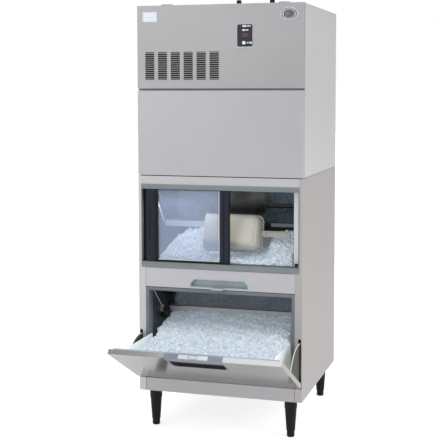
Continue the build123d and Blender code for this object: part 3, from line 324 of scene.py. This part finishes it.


# Painted light and shade: the tones below differ sheet by sheet for how each sheet is lit.
dress(satin("head_front_steel", 159, 174, (0, -1, 1)), "head_upper_panel")
dress(satin("head_apron_steel", 173, 187, (0, -1, 3)), "head_lower_panel")
dress(satin("head_side_steel", 194, 208, (0, 0, 2)), "head_right_side", "head_left_side", "head_top_cover")
dress(satin("bin_side_steel", 165, 179, (2, -2, -3)), "bin_right_side")
dress(satin("bin_left_steel", 186, 200, (0, 0, 3)), "bin_left_side")
dress(satin("bin_front_steel", 182, 196, (0, -1, 3)), "mid_panel")
dress(satin("top_strip_steel", 178, 192, (0, -1, 2)), "top_strip")
dress(satin("base_steel", 157, 171, (1, -1, 1), 0.6, 0.18, 0.26), "base_panel")
dress(satin("flap_steel", 154, 168, (0, 0, 0), 0.8, 0.16, 0.21, level_grain), "flap_outer_panel")

# Rear, bottom and inner sheets: zinc-plated steel with a dull cloudy finish.
zinc = sheet_metal("zinc_sheet", srgb(138, 140, 142), srgb(166, 168, 170), 0.7, 0.38, 0.58, depth=0.1)
dress(zinc, "bin_rear_panel", "bin_bottom_plate", "head_rear_panel", "head_base_tray", "control_box",
      "fan_shroud")


# Sealed seams: where the side posts meet the base panel, a thin bead of dark sealant fills the joint and
# follows the sill back under the flap. A dark grey strip fills the groove between the head's two panels:
# painted shade for the shadow in the groove.
def prism(name, outline, rise, material, ease=0.0):
    """Solid between an outline and its copy moved by rise, with its edges eased."""
    bm = bmesh.new()
    near = [bm.verts.new(point) for point in outline]
    far = [bm.verts.new(point + rise) for point in outline]
    bm.faces.new(near)
    bm.faces.new(far[::-1])
    for k in range(len(near)):
        n = (k + 1) % len(near)
        bm.faces.new((near[n], near[k], far[k], far[n]))
    bmesh.ops.recalc_face_normals(bm, faces=bm.faces)
    if ease:
        bmesh.ops.bevel(bm, geom=bm.edges[:], offset=ease * MM, segments=2, affect="EDGES", clamp_overlap=True)
    return mesh_object(name, bm, material, smooth=False)


def bar(name, x, y, z, material, ease=0.4):
    """Straight strip between two values of x, y and z in mm."""
    outline = [at(x[0], y[0], z[0]), at(x[1], y[0], z[0]), at(x[1], y[0], z[1]), at(x[0], y[0], z[1])]
    return prism(name, outline, Vector((0, (y[1] - y[0]) * MM, 0)), material, ease)


def mount(piece, body):
    """Hangs a piece on a body."""
    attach(piece, body)
    return piece


sealant = moulding("seam_sealant", srgb(70, 66, 66), srgb(92, 88, 88), 0.5, 0.7)
seam_x, bead_wide = 320, 1.6
for side, name in ((-1, "left_seam_bead"), (1, "right_seam_bead")):
    x = side * seam_x - bead_wide / 2
    path = [at(x, -0.5, 160), at(x, -0.5, 213.2), at(x, 34, 231), at(x, 35, 229), at(x, 1.5, 211), at(x, 1.5, 160)]
    mount(prism(name, path, Vector((bead_wide * MM, 0, 0)), sealant), "cabinet")

# Painted shade: a dark grey strip stands in for the shadow in the groove between the head's panels.
groove_shade = moulding("groove_shade", srgb(74, 72, 74), srgb(92, 90, 92), 0.7, 0.9)
mount(bar("panel_groove_shade", (-345, 345), (2, 5), (1420.4, 1427.6), groove_shade, 0), "cabinet")

# Bright inner sheets: the deflector under the head is mirror-polished stainless, so it shows the scoop and
# the ice. The partition between the two openings is less polished. A hem roll lies along each one's edge,
# painted pale as a painted highlight where the rolled edge catches the light.
mirror_sheet = sheet_metal("mirror_sheet", srgb(84, 87, 91), srgb(96, 99, 103), 1.0, 0.03, 0.07,
                           level_grain, 0.02)
dress(mirror_sheet, "ice_deflector")
partition_sheet = sheet_metal("partition_sheet", srgb(140, 140, 142), srgb(156, 156, 158), 1.0, 0.14, 0.24,
                              level_grain, 0.08)
dress(partition_sheet, "ice_partition")
# Painted highlight: both hem rolls are painted pale, far lighter than their own sheets.
hem_highlight_steel = sheet_metal("hem_highlight_steel", srgb(196, 198, 206), srgb(222, 224, 230), 0.5, 0.22, 0.32, level_grain, 0.05)
dull_hem = moulding("dull_hem", srgb(206, 202, 208), srgb(224, 220, 226), 0.35, 0.5)
mount(bar("partition_hem_roll", (-300, 300), (240.2, 242), (448.2, 474), dull_hem), "cabinet")
mount(bar("deflector_hem_roll", (-300, 20), (196.3, 198.1), (833.4, 859.5), hem_highlight_steel), "cabinet")

# Inner liner: dull stainless painted dark, as painted shade for the inside of the bin, where only the
# front light reaches it.
shaded_liner_steel = sheet_metal("shaded_liner_sheet", srgb(58, 60, 64), srgb(78, 80, 84), 0.6, 0.3, 0.45, depth=0.1)
dress(shaded_liner_steel, "bin_liner")

# Small bright parts: the latch bolt, the hinge pins and the ice sensor's tube are polished stainless, and
# the strike under the pull is duller.
bright_steel = sheet_metal("bright_steel", srgb(196, 198, 200), srgb(224, 226, 228), 0.7, 0.16, 0.28,
                           level_grain, 0.08)
dress(bright_steel, "flap_latch", "hinge_pins", "bin_sensor")
strike_steel = sheet_metal("strike_steel", srgb(166, 168, 172), srgb(184, 186, 190), 0.6, 0.3, 0.4,
                           level_grain, 0.08)
dress(strike_steel, "strike_plate")


def turned(name, profile, centre, axis, material, steps=32, stretch=1.0):
    """Round piece from a profile of (radius, height) in mm, turned about an axis through its centre."""
    axis = Vector(axis).normalized()
    side = axis.orthogonal().normalized() if abs(axis.z) > 0.9 else axis.cross(Vector((0, 0, 1))).normalized()
    other = axis.cross(side)
    bm = bmesh.new()
    rings = []
    for radius, height in profile:
        middle = centre + axis * height * MM
        if radius == 0:
            rings.append([bm.verts.new(middle)])
            continue
        ring = []
        for k in range(steps):
            a = math.tau * k / steps
            ring.append(bm.verts.new(middle + (side * math.cos(a) * stretch + other * math.sin(a)) * radius * MM))
        rings.append(ring)
    for low, high in zip(rings, rings[1:]):
        for k in range(steps):
            n = (k + 1) % steps
            if len(low) == 1:
                bm.faces.new((low[0], high[n], high[k]))
            elif len(high) == 1:
                bm.faces.new((low[k], low[n], high[0]))
            else:
                bm.faces.new((low[k], low[n], high[n], high[k]))
    bmesh.ops.recalc_face_normals(bm, faces=bm.faces)
    return mesh_object(name, bm, material)


# Second sensor tube: pale and dull with rounded ends, it hangs on the left wall of the upper bin, where it
# shows through the left window.
tube_top = at(-296, 60, 978)
rod = at(-296, 176, 846) - tube_top
reach = rod.length / MM
rod_radius, end_radius = 3.6, 2.6
rod_profile = ((0, 0), (end_radius, 0.8), (rod_radius, 3), (rod_radius, reach - 3), (end_radius, reach - 0.8),
               (0, reach))
mount(turned("upper_sensor_tube", rod_profile, tube_top, rod, dull_hem, 16), "cabinet")

# Black fittings on the left wall of the lower bin: the round rubber holder of the ice sensor's tube, and a
# moulded block beside the flap's left wing.
rubber = moulding("black_rubber", srgb(20, 22, 24), srgb(34, 36, 38), 0.5, 0.7)
holder = turned("sensor_holder", ((0, 0), (22, 0), (24, 2), (24, 18), (19, 25), (9, 28), (0, 28)),
                at(-301.5, 172, 459), (1, 0, 0), rubber)
mount(holder, "cabinet")
block_grey = moulding("guide_block", srgb(46, 52, 56), srgb(64, 70, 74), 0.4, 0.6)
wall_x, block_thick = -303.6, 2.8
guide = [at(wall_x, 46, 396), at(wall_x, 110, 380), at(wall_x, 110, 408), at(wall_x, 46, 424)]
mount(prism("flap_guide_block", guide, Vector((block_thick * MM, 0, 0)), block_grey, 0.8), "cabinet")

# Grey mouldings: hard plastic frames round the windows and the flap's opening, and the finger recess over
# the flap. The opening's frame is painted darker, painted shade for the shadow that falls on it, and the
# recess is painted lighter, painted light against the shade in its hollow. A light steel strip lines the
# window frame behind the tracks.
grey = moulding("grey_moulding", srgb(108, 116, 119), srgb(126, 134, 137), 0.36, 0.5)
dress(grey, "window_frame", "drain_pipe")
# Painted shade: the opening's frame is painted darker than the window frame.
shaded_teal_grey = moulding("opening_moulding_shaded", srgb(92, 101, 105), srgb(110, 119, 123), 0.36, 0.5, 0.1)
dress(shaded_teal_grey, "opening_frame")
# Painted light: the recess is painted lighter, against the shade in its hollow.
lit_recess_grey = moulding("recess_moulding_lit", srgb(156, 170, 175), srgb(172, 186, 190), 0.36, 0.5, 0.1)
dress(lit_recess_grey, "pull_recess")
strip_steel = sheet_metal("jamb_strip_steel", srgb(204, 205, 210), srgb(222, 223, 228), 0.3, 0.3, 0.4)
for side, name in ((-1, "left_jamb_strip"), (1, "right_jamb_strip")):
    x = sorted((side * 308.2, side * 333.4))
    mount(bar(name, x, (31.4, 32.8), (708.6, 1012.4), strip_steel), "cabinet")

# Sashes: smooth black plastic, the left one with a blue cast. The left sash carries an interlock strip, black
# edges over its stiles and bottom rail, and a white bead that seals its glass. A black stop ends the track at
# the right.
black = moulding("black_moulding", srgb(9, 10, 13), srgb(15, 17, 22), 0.4, 0.52, shine=0.2)
dress(black, "right_sash", "cord_gland", "button_switch", "air_filter", "circulation_pump", "top_knobs")
blue_black = moulding("sash_moulding", srgb(26, 31, 44), srgb(34, 40, 55), 0.4, 0.5, shine=0.2)
dress(blue_black, "left_sash")
foot, head = 698.6, 1021.6
interlock = [at(2.6, 2.6, foot), at(16, 1.6, foot), at(16, 1.6, head), at(2.6, 2.6, head)]
mount(prism("meeting_interlock", interlock, Vector((0, 3.2 * MM, 0)), blue_black, 0.4), "left_window")
for name, x, y in (("meeting_groove", (16, 24.6), (1.9, 4)), ("meeting_outer_edge", (40.4, 45.6), (1.4, 13)),
                   ("pull_edge", (-279, -274.6), (1.4, 13)), ("pull_face", (-274.6, -263), (1.5, 4))):
    mount(bar(name, x, y, (foot, head), black), "left_window")
mount(bar("bottom_rail_face", (-279, 45.6), (1.5, 4), (708.6, 717), black), "left_window")
bead_white = moulding("glazing_bead", srgb(200, 206, 214), srgb(214, 220, 228), 0.4, 0.55)
mount(bar("upright_bead", (-1.2, 2.4), (3.6, 6), (717, 1009.8), bead_white, 0.8), "left_window")
mount(bar("bottom_bead", (-274.4, 2.4), (3.6, 6), (717, 720.2), bead_white, 0.8), "left_window")
mount(bar("track_end", (319, 333), (-3.4, 0.8), (713, 727), black), "cabinet")

# Legs and feet: black moulded plastic, tapered, with a threaded foot at the bottom. The caps on the head's
# top are pale.
leg_black = moulding("leg_moulding", srgb(13, 15, 18), srgb(22, 24, 28), 0.4, 0.52, shine=0.2)
dress(leg_black, "legs", "front_left_foot", "front_right_foot", "rear_left_foot", "rear_right_foot")
pale_caps = moulding("pale_caps", srgb(160, 160, 154), srgb(178, 178, 172), 0.45, 0.6)
dress(pale_caps, "top_caps")

# White mouldings: the flap's inner pan with its wings, the water tray and the button. The pan glows a little,
# for light thrown back by the ice. The control's frame is light grey and the foam behind the sheets is yellow.
white = moulding("white_moulding", srgb(226, 229, 226), srgb(242, 244, 241), 0.35, 0.5, 0.1)
dress(white, "water_tray", "power_button")
pan_white = moulding("pan_white", srgb(228, 231, 230), srgb(242, 244, 243), 0.35, 0.5, 0.1)
pan_shader = pan_white.node_tree.nodes["Principled BSDF"]
pan_shader.inputs["Emission Color"].default_value = srgb(226, 232, 234)
pan_shader.inputs["Emission Strength"].default_value = 0.27
dress(pan_white, "flap_inner_pan")
bezel_grey = moulding("bezel_grey", srgb(172, 172, 174), srgb(188, 188, 190), 0.35, 0.5)
dress(bezel_grey, "control_bezel")
foam = moulding("foam", srgb(196, 180, 130), srgb(214, 200, 150), 0.8, 0.95, 0.0, 0.6, 300.0)
dress(foam, "insulation")


# Window glass: clear panes in the black sashes, each with a pale blue veil that is a painted reflection of
# the studio's light. The veil on the left one, in front, is the stronger, and the right one is nearly bare.
def pane(name, dark, light, smooth, rough, alpha):
    """See-through material with a cloudy pale veil, a painted reflection, of a given strength."""
    material, tree, shader = new_material(name)
    veil_reflection = use(tree, mottle, Scale=2.0, Spread=1.0)
    tree.links.new(between(tree, veil_reflection.outputs["Tone"], dark, light), shader.inputs["Base Color"])
    tree.links.new(span(tree, veil_reflection.outputs["Tone"], smooth, rough), shader.inputs["Roughness"])
    shader.inputs["Alpha"].default_value = alpha
    return material


dress(pane("glass_painted_reflection", srgb(172, 187, 216), srgb(184, 198, 226), 0.03, 0.07, 0.3), "left_glass")
dress(pane("clear_glass", srgb(170, 180, 200), srgb(180, 190, 208), 0.02, 0.05, 0.1), "right_glass")

# Control plate: glossy dark blue plastic with two red lamps, a dark red display and pale legend bars,
# which stay plain.
display = moulding("display_plate", srgb(24, 33, 45), srgb(32, 42, 54), 0.2, 0.28, 0.1, 0.02, shine=0.35)
dress(display, "control_window")
legend = moulding("legend_paint", srgb(196, 204, 212), srgb(222, 228, 234), 0.4, 0.5)
red_glass = moulding("red_display", srgb(66, 34, 36), srgb(84, 42, 42), 0.15, 0.25, 0.5, 0.02)
lamp_red = moulding("lamp_lens", srgb(150, 40, 40), srgb(180, 56, 50), 0.15, 0.25, 0.5, 0.02)
for k, z in enumerate((1677, 1661)):
    mount(turned("lamp_%d" % (k + 1), ((0, -0.2), (2.3, -0.2), (2.3, 0.5), (1.5, 1.1), (0, 1.4)), at(94.6, 0, z),
                 (0, -1, 0), lamp_red, 16), "cabinet")
marks = ((101, 117, 1677, 7.0), (119, 135, 1677, 4.4), (101, 112, 1661, 7.0), (114, 126, 1661, 4.4),
         (119, 127, 1610.5, 4.4), (130, 140, 1610.5, 7.0))
for k, (x0, x1, z, tall) in enumerate(marks):
    mount(bar("legend_bar_%d" % (k + 1), (x0, x1), (-1.4, -0.8), (z - tall / 2, z + tall / 2), legend, 0.2),
          "cabinet")
mount(bar("display_lens", (99, 127), (-1.5, -0.8), (1633, 1650), red_glass, 0.3), "cabinet")

# Two blank plates on the head: a white one with a pale border at the left, and an oval pressed one with a
# bright rim and fine ribs at the right.
plate_white = moulding("plate_enamel", srgb(206, 213, 226), srgb(220, 226, 236), 0.3, 0.4, 0.2, 0.02)
mount(bar("blank_plate", (-325.5, -263.5), (-1.0, 0), (1700, 1741), plate_white, 0.4), "cabinet")
border = moulding("plate_border", srgb(176, 190, 212), srgb(190, 202, 220), 0.3, 0.4)
for k, (x, z) in enumerate((((-322, -267), (1737, 1738.6)), ((-322, -267), (1702.4, 1704)),
                            ((-322, -320.4), (1702.4, 1738.6)), ((-268.6, -267), (1702.4, 1738.6)),
                            ((-316, -273), (1719.4, 1720.8)))):
    mount(bar("plate_border_%d" % (k + 1), x, (-1.3, -0.8), z, border, 0.1), "cabinet")
badge_dark = sheet_metal("badge_field", srgb(96, 98, 104), srgb(124, 126, 132), 0.8, 0.25, 0.4)
badge_rim = sheet_metal("badge_rim", srgb(196, 198, 204), srgb(226, 228, 232), 0.8, 0.15, 0.25)
oval_centre = at(292.6, 0, 1722.4)
oval_stretch = 1.36
mount(turned("oval_plate", ((0, 1.3), (9, 1.3), (10, 1.0), (17, 1.0), (18, 1.5), (20, 1.5), (21, 0.9), (23.4, 0.9),
                            (24, 1.2), (25.6, 1.2), (26.4, 0.2)), oval_centre, (0, -1, 0), badge_dark, 48,
                            oval_stretch),
      "cabinet")
mount(turned("oval_rim", ((23.6, 0.8), (24.0, 1.9), (25.2, 2.1), (26.4, 1.6), (26.6, 0)), oval_centre, (0, -1, 0),
             badge_rim, 48, oval_stretch), "cabinet")
mount(turned("oval_ring", ((17.2, 0.9), (17.6, 1.9), (19.4, 1.9), (19.8, 0.9)), oval_centre, (0, -1, 0),
             badge_rim, 48, oval_stretch), "cabinet")
ribs, rib_in, rib_out, rib_half = 28, 20.6, 23.2, 0.6
rib_rise = Vector((0, -0.8 * MM, 0))
for k in range(ribs):
    a = math.tau * (k + 0.5) / ribs
    radial = Vector((math.cos(a) * oval_stretch, 0, math.sin(a)))
    across = Vector((-math.sin(a), 0, math.cos(a)))
    outline = [oval_centre + (radial * out + across * off) * MM + rib_rise
               for out, off in ((rib_in, -rib_half), (rib_out, -rib_half), (rib_out, rib_half), (rib_in, rib_half))]
    mount(prism("oval_rib_%02d" % (k + 1), outline, rib_rise, badge_rim), "cabinet")

# Working parts behind the sheets: black compressor and motor, bare aluminium, tinned copper and brass.
black_metal = sheet_metal("black_enamel", srgb(20, 20, 21), srgb(32, 32, 34), 0.1, 0.25, 0.4, depth=0.05)
dress(black_metal, "compressor", "fan_motor")
aluminium = sheet_metal("bare_aluminium", srgb(176, 178, 180), srgb(204, 206, 208), 0.9, 0.3, 0.45)
dress(aluminium, "condenser", "fan_blades")
tinned = sheet_metal("tinned_copper", srgb(186, 172, 150), srgb(208, 196, 176), 0.9, 0.24, 0.4)
dress(tinned, "evaporator")
brass = sheet_metal("brass", srgb(176, 142, 74), srgb(204, 170, 98), 1.0, 0.2, 0.35, depth=0.1)
dress(brass, "water_inlet")

# Scoop: one-piece beige plastic with a soft gloss, a deep bowl with a flanged rim and a hollow grip.
scoop_plastic = moulding("scoop_plastic", srgb(184, 182, 172), srgb(196, 194, 184), 0.2, 0.3, 0.5, 0.04)
dress(scoop_plastic, "scoop")

# Flap fittings. The open flap is tilted about its hinge, so its small parts are set out along it:
# u up the panel from the hinge line, n out of its inner face, both in mm.
HINGE = (-20.0, 232.0)
TILT = math.radians(62)


def on_flap(u, n):
    """Point of the open flap, as (y, z) in mm: u up the panel from the hinge, n out of its inner face."""
    return (HINGE[0] - u * math.sin(TILT) + n * math.cos(TILT), HINGE[1] + u * math.cos(TILT) + n * math.sin(TILT))


def flap_point(x, u, n):
    y, z = on_flap(u, n)
    return at(x, y, z)


out_of_pan = Vector((0, math.cos(TILT), math.sin(TILT)))

# Handle: blue-grey moulding let into the flap, with a deep finger pocket whose walls and floor are painted
# near black as painted shade in the hollow, and a bright plate round the latch on its end face.
handle_grey = moulding("handle_moulding", srgb(112, 118, 128), srgb(128, 134, 144), 0.34, 0.48, 0.1)
dress(handle_grey, "flap_handle")
# Painted shade: near black walls and floor for the finger pocket's hollow.
painted_pocket_shade = moulding("pocket_painted_shade", srgb(22, 25, 32), srgb(34, 38, 46), 0.4, 0.55)
wide, low, high, corner = 110.7, 244.3, 322.7, 14
rim = [(-wide, high), (-wide, low + corner), (corner - wide, low), (wide - corner, low), (wide, low + corner),
       (wide, high)]
pocket_shade_bm = bmesh.new()
face = [pocket_shade_bm.verts.new(flap_point(x, u, -9.5)) for x, u in rim]
floor_ring = [pocket_shade_bm.verts.new(flap_point(x * 0.985, u, 1.2)) for x, u in rim]
pocket_shade_bm.faces.new(floor_ring)
for k in range(len(rim)):
    n = (k + 1) % len(rim)
    pocket_shade_bm.faces.new((face[k], face[n], floor_ring[n], floor_ring[k]))
bmesh.ops.recalc_face_normals(pocket_shade_bm, faces=pocket_shade_bm.faces)
mount(mesh_object("pocket_painted_shade", pocket_shade_bm, painted_pocket_shade, smooth=False), "flap")
silver = sheet_metal("latch_plate_steel", srgb(186, 186, 188), srgb(208, 208, 210), 0.5, 0.25, 0.36, level_grain)
FACE_OFFSET, FLAP_TOP, LEAN = 10.5, 369, 5 / 21


def end_face(x, n, lift):
    """Point at a lift over the flap's end face, which leans back from the outer face."""
    return flap_point(x, FLAP_TOP - (n + FACE_OFFSET) * LEAN + lift, n)


latch_plate = bmesh.new()
steps = 48
plate_half, plate_tall, slot_side, slot_radius = 59.5, 8.8, 14.4, 7.2
rings = []
for lift, shape in ((0.1, "out"), (0.8, "out"), (0.8, "in"), (0.1, "in")):
    ring = []
    for k in range(steps):
        a = math.tau * (k + 0.5) / steps
        c, d = math.cos(a), math.sin(a)
        if shape == "out":
            x = math.copysign(min(abs(c) * 84, plate_half), c)
            n = math.copysign(min(abs(d) * 14, plate_tall), d)
        else:
            x = math.copysign(slot_side, c) + slot_radius * c
            n = slot_radius * d
        ring.append(latch_plate.verts.new(end_face(x, n, lift)))
    rings.append(ring)
for ring, after in zip(rings, rings[1:]):
    for k in range(steps):
        m = (k + 1) % steps
        latch_plate.faces.new((ring[k], ring[m], after[m], after[k]))
bmesh.ops.recalc_face_normals(latch_plate, faces=latch_plate.faces)
mount(mesh_object("latch_plate", latch_plate, silver, smooth=False), "flap")

# Gasket: a soft grey-blue strip round the rim of the flap's pan, which closes against the frame. It runs
# along the top and both sides.
gasket_blue = moulding("gasket", srgb(146, 168, 182), srgb(164, 184, 198), 0.4, 0.6)
GASKET_FOOT, GASKET_DEPTH = 10.7, 8.4


def gasket_run(name, x, u):
    """Straight run of the gasket between two values of x and of u, in mm."""
    corners = ((x[0], u[0]), (x[1], u[0]), (x[1], u[1]), (x[0], u[1]))
    outline = [flap_point(across, up, GASKET_FOOT) for across, up in corners]
    mount(prism(name, outline, out_of_pan * GASKET_DEPTH * MM, gasket_blue, 0.8), "flap")


gasket_run("gasket_top", (-335, 335), (347.3, 350.6))
gasket_run("gasket_left", (-335, -332.3), (12, 347.2))
gasket_run("gasket_right", (332.3, 335), (12, 347.2))

# Stays: sector plates of dark olive steel that slide through the slots in the posts. A cream rim runs along
# the arc of each.
stay_steel = sheet_metal("stay_plate", srgb(54, 52, 42), srgb(72, 69, 57), 0.2, 0.45, 0.6, upright_grain, 0.1)
stay_cream = moulding("stay_rim", srgb(198, 197, 188), srgb(216, 215, 206), 0.4, 0.55)
dress(stay_steel, "flap_stays")
stay_x, rim_in, rim_out, rim_half = 340, 167.4, 171.4, 1.6
rim_start, rim_sweep, rim_steps = 4, 66, 32
for side, name in ((-1, "left_stay_rim"), (1, "right_stay_rim")):
    arc = bmesh.new()
    rows = []
    for k in range(rim_steps + 1):
        a = math.radians(rim_start + rim_sweep * k / rim_steps)
        row = []
        for radius, x in ((rim_in, -rim_half), (rim_out, -rim_half), (rim_out, rim_half), (rim_in, rim_half)):
            row.append(arc.verts.new(flap_point(side * stay_x + x, radius * math.cos(a), radius * math.sin(a))))
        rows.append(row)
    for row, after in zip(rows, rows[1:]):
        for k in range(4):
            m = (k + 1) % 4
            arc.faces.new((row[k], row[m], after[m], after[k]))
    arc.faces.new(rows[0])
    arc.faces.new(rows[-1][::-1])
    bmesh.ops.recalc_face_normals(arc, faces=arc.faces)
    mount(mesh_object(name, arc, stay_cream, smooth=False), "flap")

# Ice: rounded cubes with a dimple, as the cells of the machine leave them, heaped at random over a
# bed that stands in for the ice below the surface.
ice, tree, shader = new_material("ice")
cloud = use(tree, mottle, Scale=80.0, Spread=2.0)
tree.links.new(between(tree, cloud.outputs["Tone"], srgb(180, 194, 206), srgb(220, 226, 232)),
               shader.inputs["Base Color"])
tree.links.new(span(tree, cloud.outputs["Tone"], 0.14, 0.32), shader.inputs["Roughness"])
# The ice glows a little in pale blue: painted light for the light that fills the bins.
tree.links.new(between(tree, cloud.outputs["Tone"], srgb(176, 190, 202), srgb(206, 216, 226)),
               shader.inputs["Emission Color"])
shader.inputs["Emission Strength"].default_value = 0.2
shader.inputs["IOR"].default_value = 1.31
cube_side = 18 * MM


def one_cube():
    """Corner points and faces of one ice cube, side 1, with rounded edges and a dimple."""
    bm = bmesh.new()
    bmesh.ops.create_cube(bm, size=1.0)
    top = max(bm.faces, key=lambda f: f.calc_center_median().z)
    bmesh.ops.inset_individual(bm, faces=[top], thickness=0.24)
    for v in top.verts:
        v.co.z -= 0.2
    outer = [e for e in bm.edges if e.calc_face_angle(0) > 1.2 and e.verts[0].co.length > 0.8
             and e.verts[1].co.length > 0.8]
    bmesh.ops.bevel(bm, geom=outer, offset=0.15, segments=1, affect="EDGES")
    bmesh.ops.triangulate(bm, faces=bm.faces)
    bm.verts.index_update()
    points = [v.co.copy() for v in bm.verts]
    faces = [[v.index for v in f.verts] for f in bm.faces]
    bm.free()
    return points, faces


cube_points, cube_faces = one_cube()


def ice_heap(name, surface, x_range, y_range, pitch, layers, seed, keep=None):
    """Cubes dropped on a jittered grid over surface(x, y), in mm, turned at random."""
    draw = random.Random(seed)
    jitter = 0.42
    points, faces = [], []
    for layer in range(layers):
        y = y_range[0]
        while y <= y_range[1]:
            x = x_range[0]
            while x <= x_range[1]:
                px = x + draw.uniform(-jitter, jitter) * pitch
                py = y + draw.uniform(-jitter, jitter) * pitch
                turn = (Matrix.Rotation(draw.uniform(0, 6.28), 3, "Z") @ Matrix.Rotation(draw.uniform(0, 6.28), 3, "X")
                        @ Matrix.Rotation(draw.uniform(0, 6.28), 3, "Y"))
                size = draw.uniform(0.82, 1.12)
                lift = draw.uniform(-4, 3) - layer * pitch * 0.62
                x += pitch
                z = surface(px, py) + lift - cube_side / MM * 0.5
                if keep and not keep(px, py, z):
                    continue
                middle = at(px, py, z)
                first = len(points)
                points += [middle + turn @ (p * (cube_side * size)) for p in cube_points]
                faces += [[first + k for k in f] for f in cube_faces]
            y += pitch
    mesh = bpy.data.meshes.new(name)
    mesh.from_pydata(points, [], faces)
    mesh.materials.append(ice)
    piece = bpy.data.objects.new(name, mesh)
    bpy.context.scene.collection.objects.link(piece)
    return piece


ICE_FRONT, HEM_RUN = 52, 146
BOWL_MIDDLE, BOWL_HALF = 41, 129
HEAP_SIDE, SIDE_RUN = 288, 98


def upper_surface(x, y):
    """Top of the heap behind the windows: it climbs to the deflector's hem beside the scoop, stays low
    behind its bowl, and falls away to the left wall."""
    climb = min(1.0, max(0.0, (y - ICE_FRONT) / HEM_RUN))
    beside_bowl = min(1.0, max(0.0, abs(x - BOWL_MIDDLE) - BOWL_HALF) / 25)
    crest = 715 + climb * (42 + 70 * beside_bowl)
    wall = 700 + 0.27 * (y - ICE_FRONT)
    share = min(1.0, max(0.0, (x + HEAP_SIDE) / SIDE_RUN)) ** 0.8
    return wall + (crest - wall) * share + 3 * math.sin(x * 0.05 + y * 0.07)


upper_cubes = ice_heap("upper_ice", upper_surface, (-287, 290), (58, 204), 13, 2, 11)
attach(upper_cubes, "cabinet")


def lower_surface(x, y):
    """Top of the ice behind the flap's opening."""
    left = max(0.0, -x - 262) / 30
    climb = 30 * min(1.0, max(0.0, (y - 60) / 165))
    return 426 + climb - 16 * left + 2.5 * math.sin(x * 0.06) + 2.5 * math.sin(y * 0.08 + x * 0.03)


lower_cubes = ice_heap("lower_ice", lower_surface, (-275, 276), (64, 234), 13, 2, 12)
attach(lower_cubes, "cabinet")


def ice_bed(name, surface, x_range, y_range, floor_z, step):
    """Closed block whose top follows the heap's surface, a little under the cubes."""
    bm = bmesh.new()
    nx = int((x_range[1] - x_range[0]) / step)
    ny = int((y_range[1] - y_range[0]) / step)
    rows = []
    for j in range(ny + 1):
        y = y_range[0] + (y_range[1] - y_range[0]) * j / ny
        row = []
        for i in range(nx + 1):
            x = x_range[0] + (x_range[1] - x_range[0]) * i / nx
            row.append(bm.verts.new(at(x, y, surface(x, y) - 20)))
        rows.append(row)
    for j in range(ny):
        for i in range(nx):
            bm.faces.new((rows[j][i], rows[j][i + 1], rows[j + 1][i + 1], rows[j + 1][i]))
    rim = rows[0] + [r[-1] for r in rows[1:]] + rows[-1][-2::-1] + [r[0] for r in rows[-2:0:-1]]
    foot = [bm.verts.new(v.co) for v in rim]
    for v in foot:
        v.co.z = floor_z * MM
    for k in range(len(rim)):
        n = (k + 1) % len(rim)
        bm.faces.new((rim[n], rim[k], foot[k], foot[n]))
    bm.faces.new(foot)
    bmesh.ops.recalc_face_normals(bm, faces=bm.faces)
    return mesh_object(name, bm, ice)


upper_bed = ice_bed("upper_ice_bed", upper_surface, (-HEAP_SIDE, HEAP_SIDE), (ICE_FRONT, 650), 690, 16)
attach(upper_bed, "cabinet")
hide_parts("stored_ice")
lower_bed = ice_bed("lower_ice_bed", lower_surface, (-HEAP_SIDE, HEAP_SIDE), (49, 242), 210, 16)
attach(lower_bed, "cabinet")

# Ice on the open flap: the same cubes, level with the ice in the bin and held in by the two wings.
# It lies against the pan.
PAN_TOP = 19
PAN_CLEAR, RIM_STOP, HEAP_LEFT, HEAP_LEAN = 31, 345, 256, 0.1


def pan_surface(x, y):
    """Top of the ice between the flap's tip and the opening, lower beside the wings."""
    tip = on_flap(334, PAN_TOP)[0]
    share = (y - tip) / (47 - tip)
    side = max(0.0, abs(x) - 262) / 28
    return 409 + 15 * share - 12 * side + 2.5 * math.sin(x * 0.06) + 2.5 * math.sin(y * 0.08 + x * 0.03)


def above_pan(x, y, z):
    """True where the pan leaves room for a cube with its middle at this point."""
    n = (y - HINGE[0]) * math.cos(TILT) + (z - HINGE[1]) * math.sin(TILT)
    u = (z - HINGE[1]) * math.cos(TILT) - (y - HINGE[0]) * math.sin(TILT)
    return n > PAN_CLEAR and u < RIM_STOP and x > -HEAP_LEFT - HEAP_LEAN * y


flap_cubes = ice_heap("flap_ice", pan_surface, (-282, 282), (on_flap(340, PAN_TOP)[0], 42), 14, 3, 13,
                      above_pan)
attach(flap_cubes, "flap")
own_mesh(flap_cubes)

bed = bmesh.new()
bed_tip, bed_heel, bed_high, bed_left, bed_right = 330, 34, 184, -226, 285
line = [on_flap(bed_tip, PAN_TOP), on_flap(bed_heel, PAN_TOP), on_flap(bed_heel, bed_high)]
sides = []
for x in (bed_left, bed_right):
    sides.append([bed.verts.new(at(x, y, z)) for y, z in line])
bed.faces.new(sides[0])
bed.faces.new(sides[1][::-1])
for k in range(3):
    n = (k + 1) % 3
    bed.faces.new((sides[0][k], sides[1][k], sides[1][n], sides[0][n]))
bmesh.ops.recalc_face_normals(bed, faces=bed.faces)
flap_bed = mesh_object("flap_ice_bed", bed, ice, smooth=False)
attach(flap_bed, "flap")
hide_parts("loose_ice")
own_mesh(flap_bed)
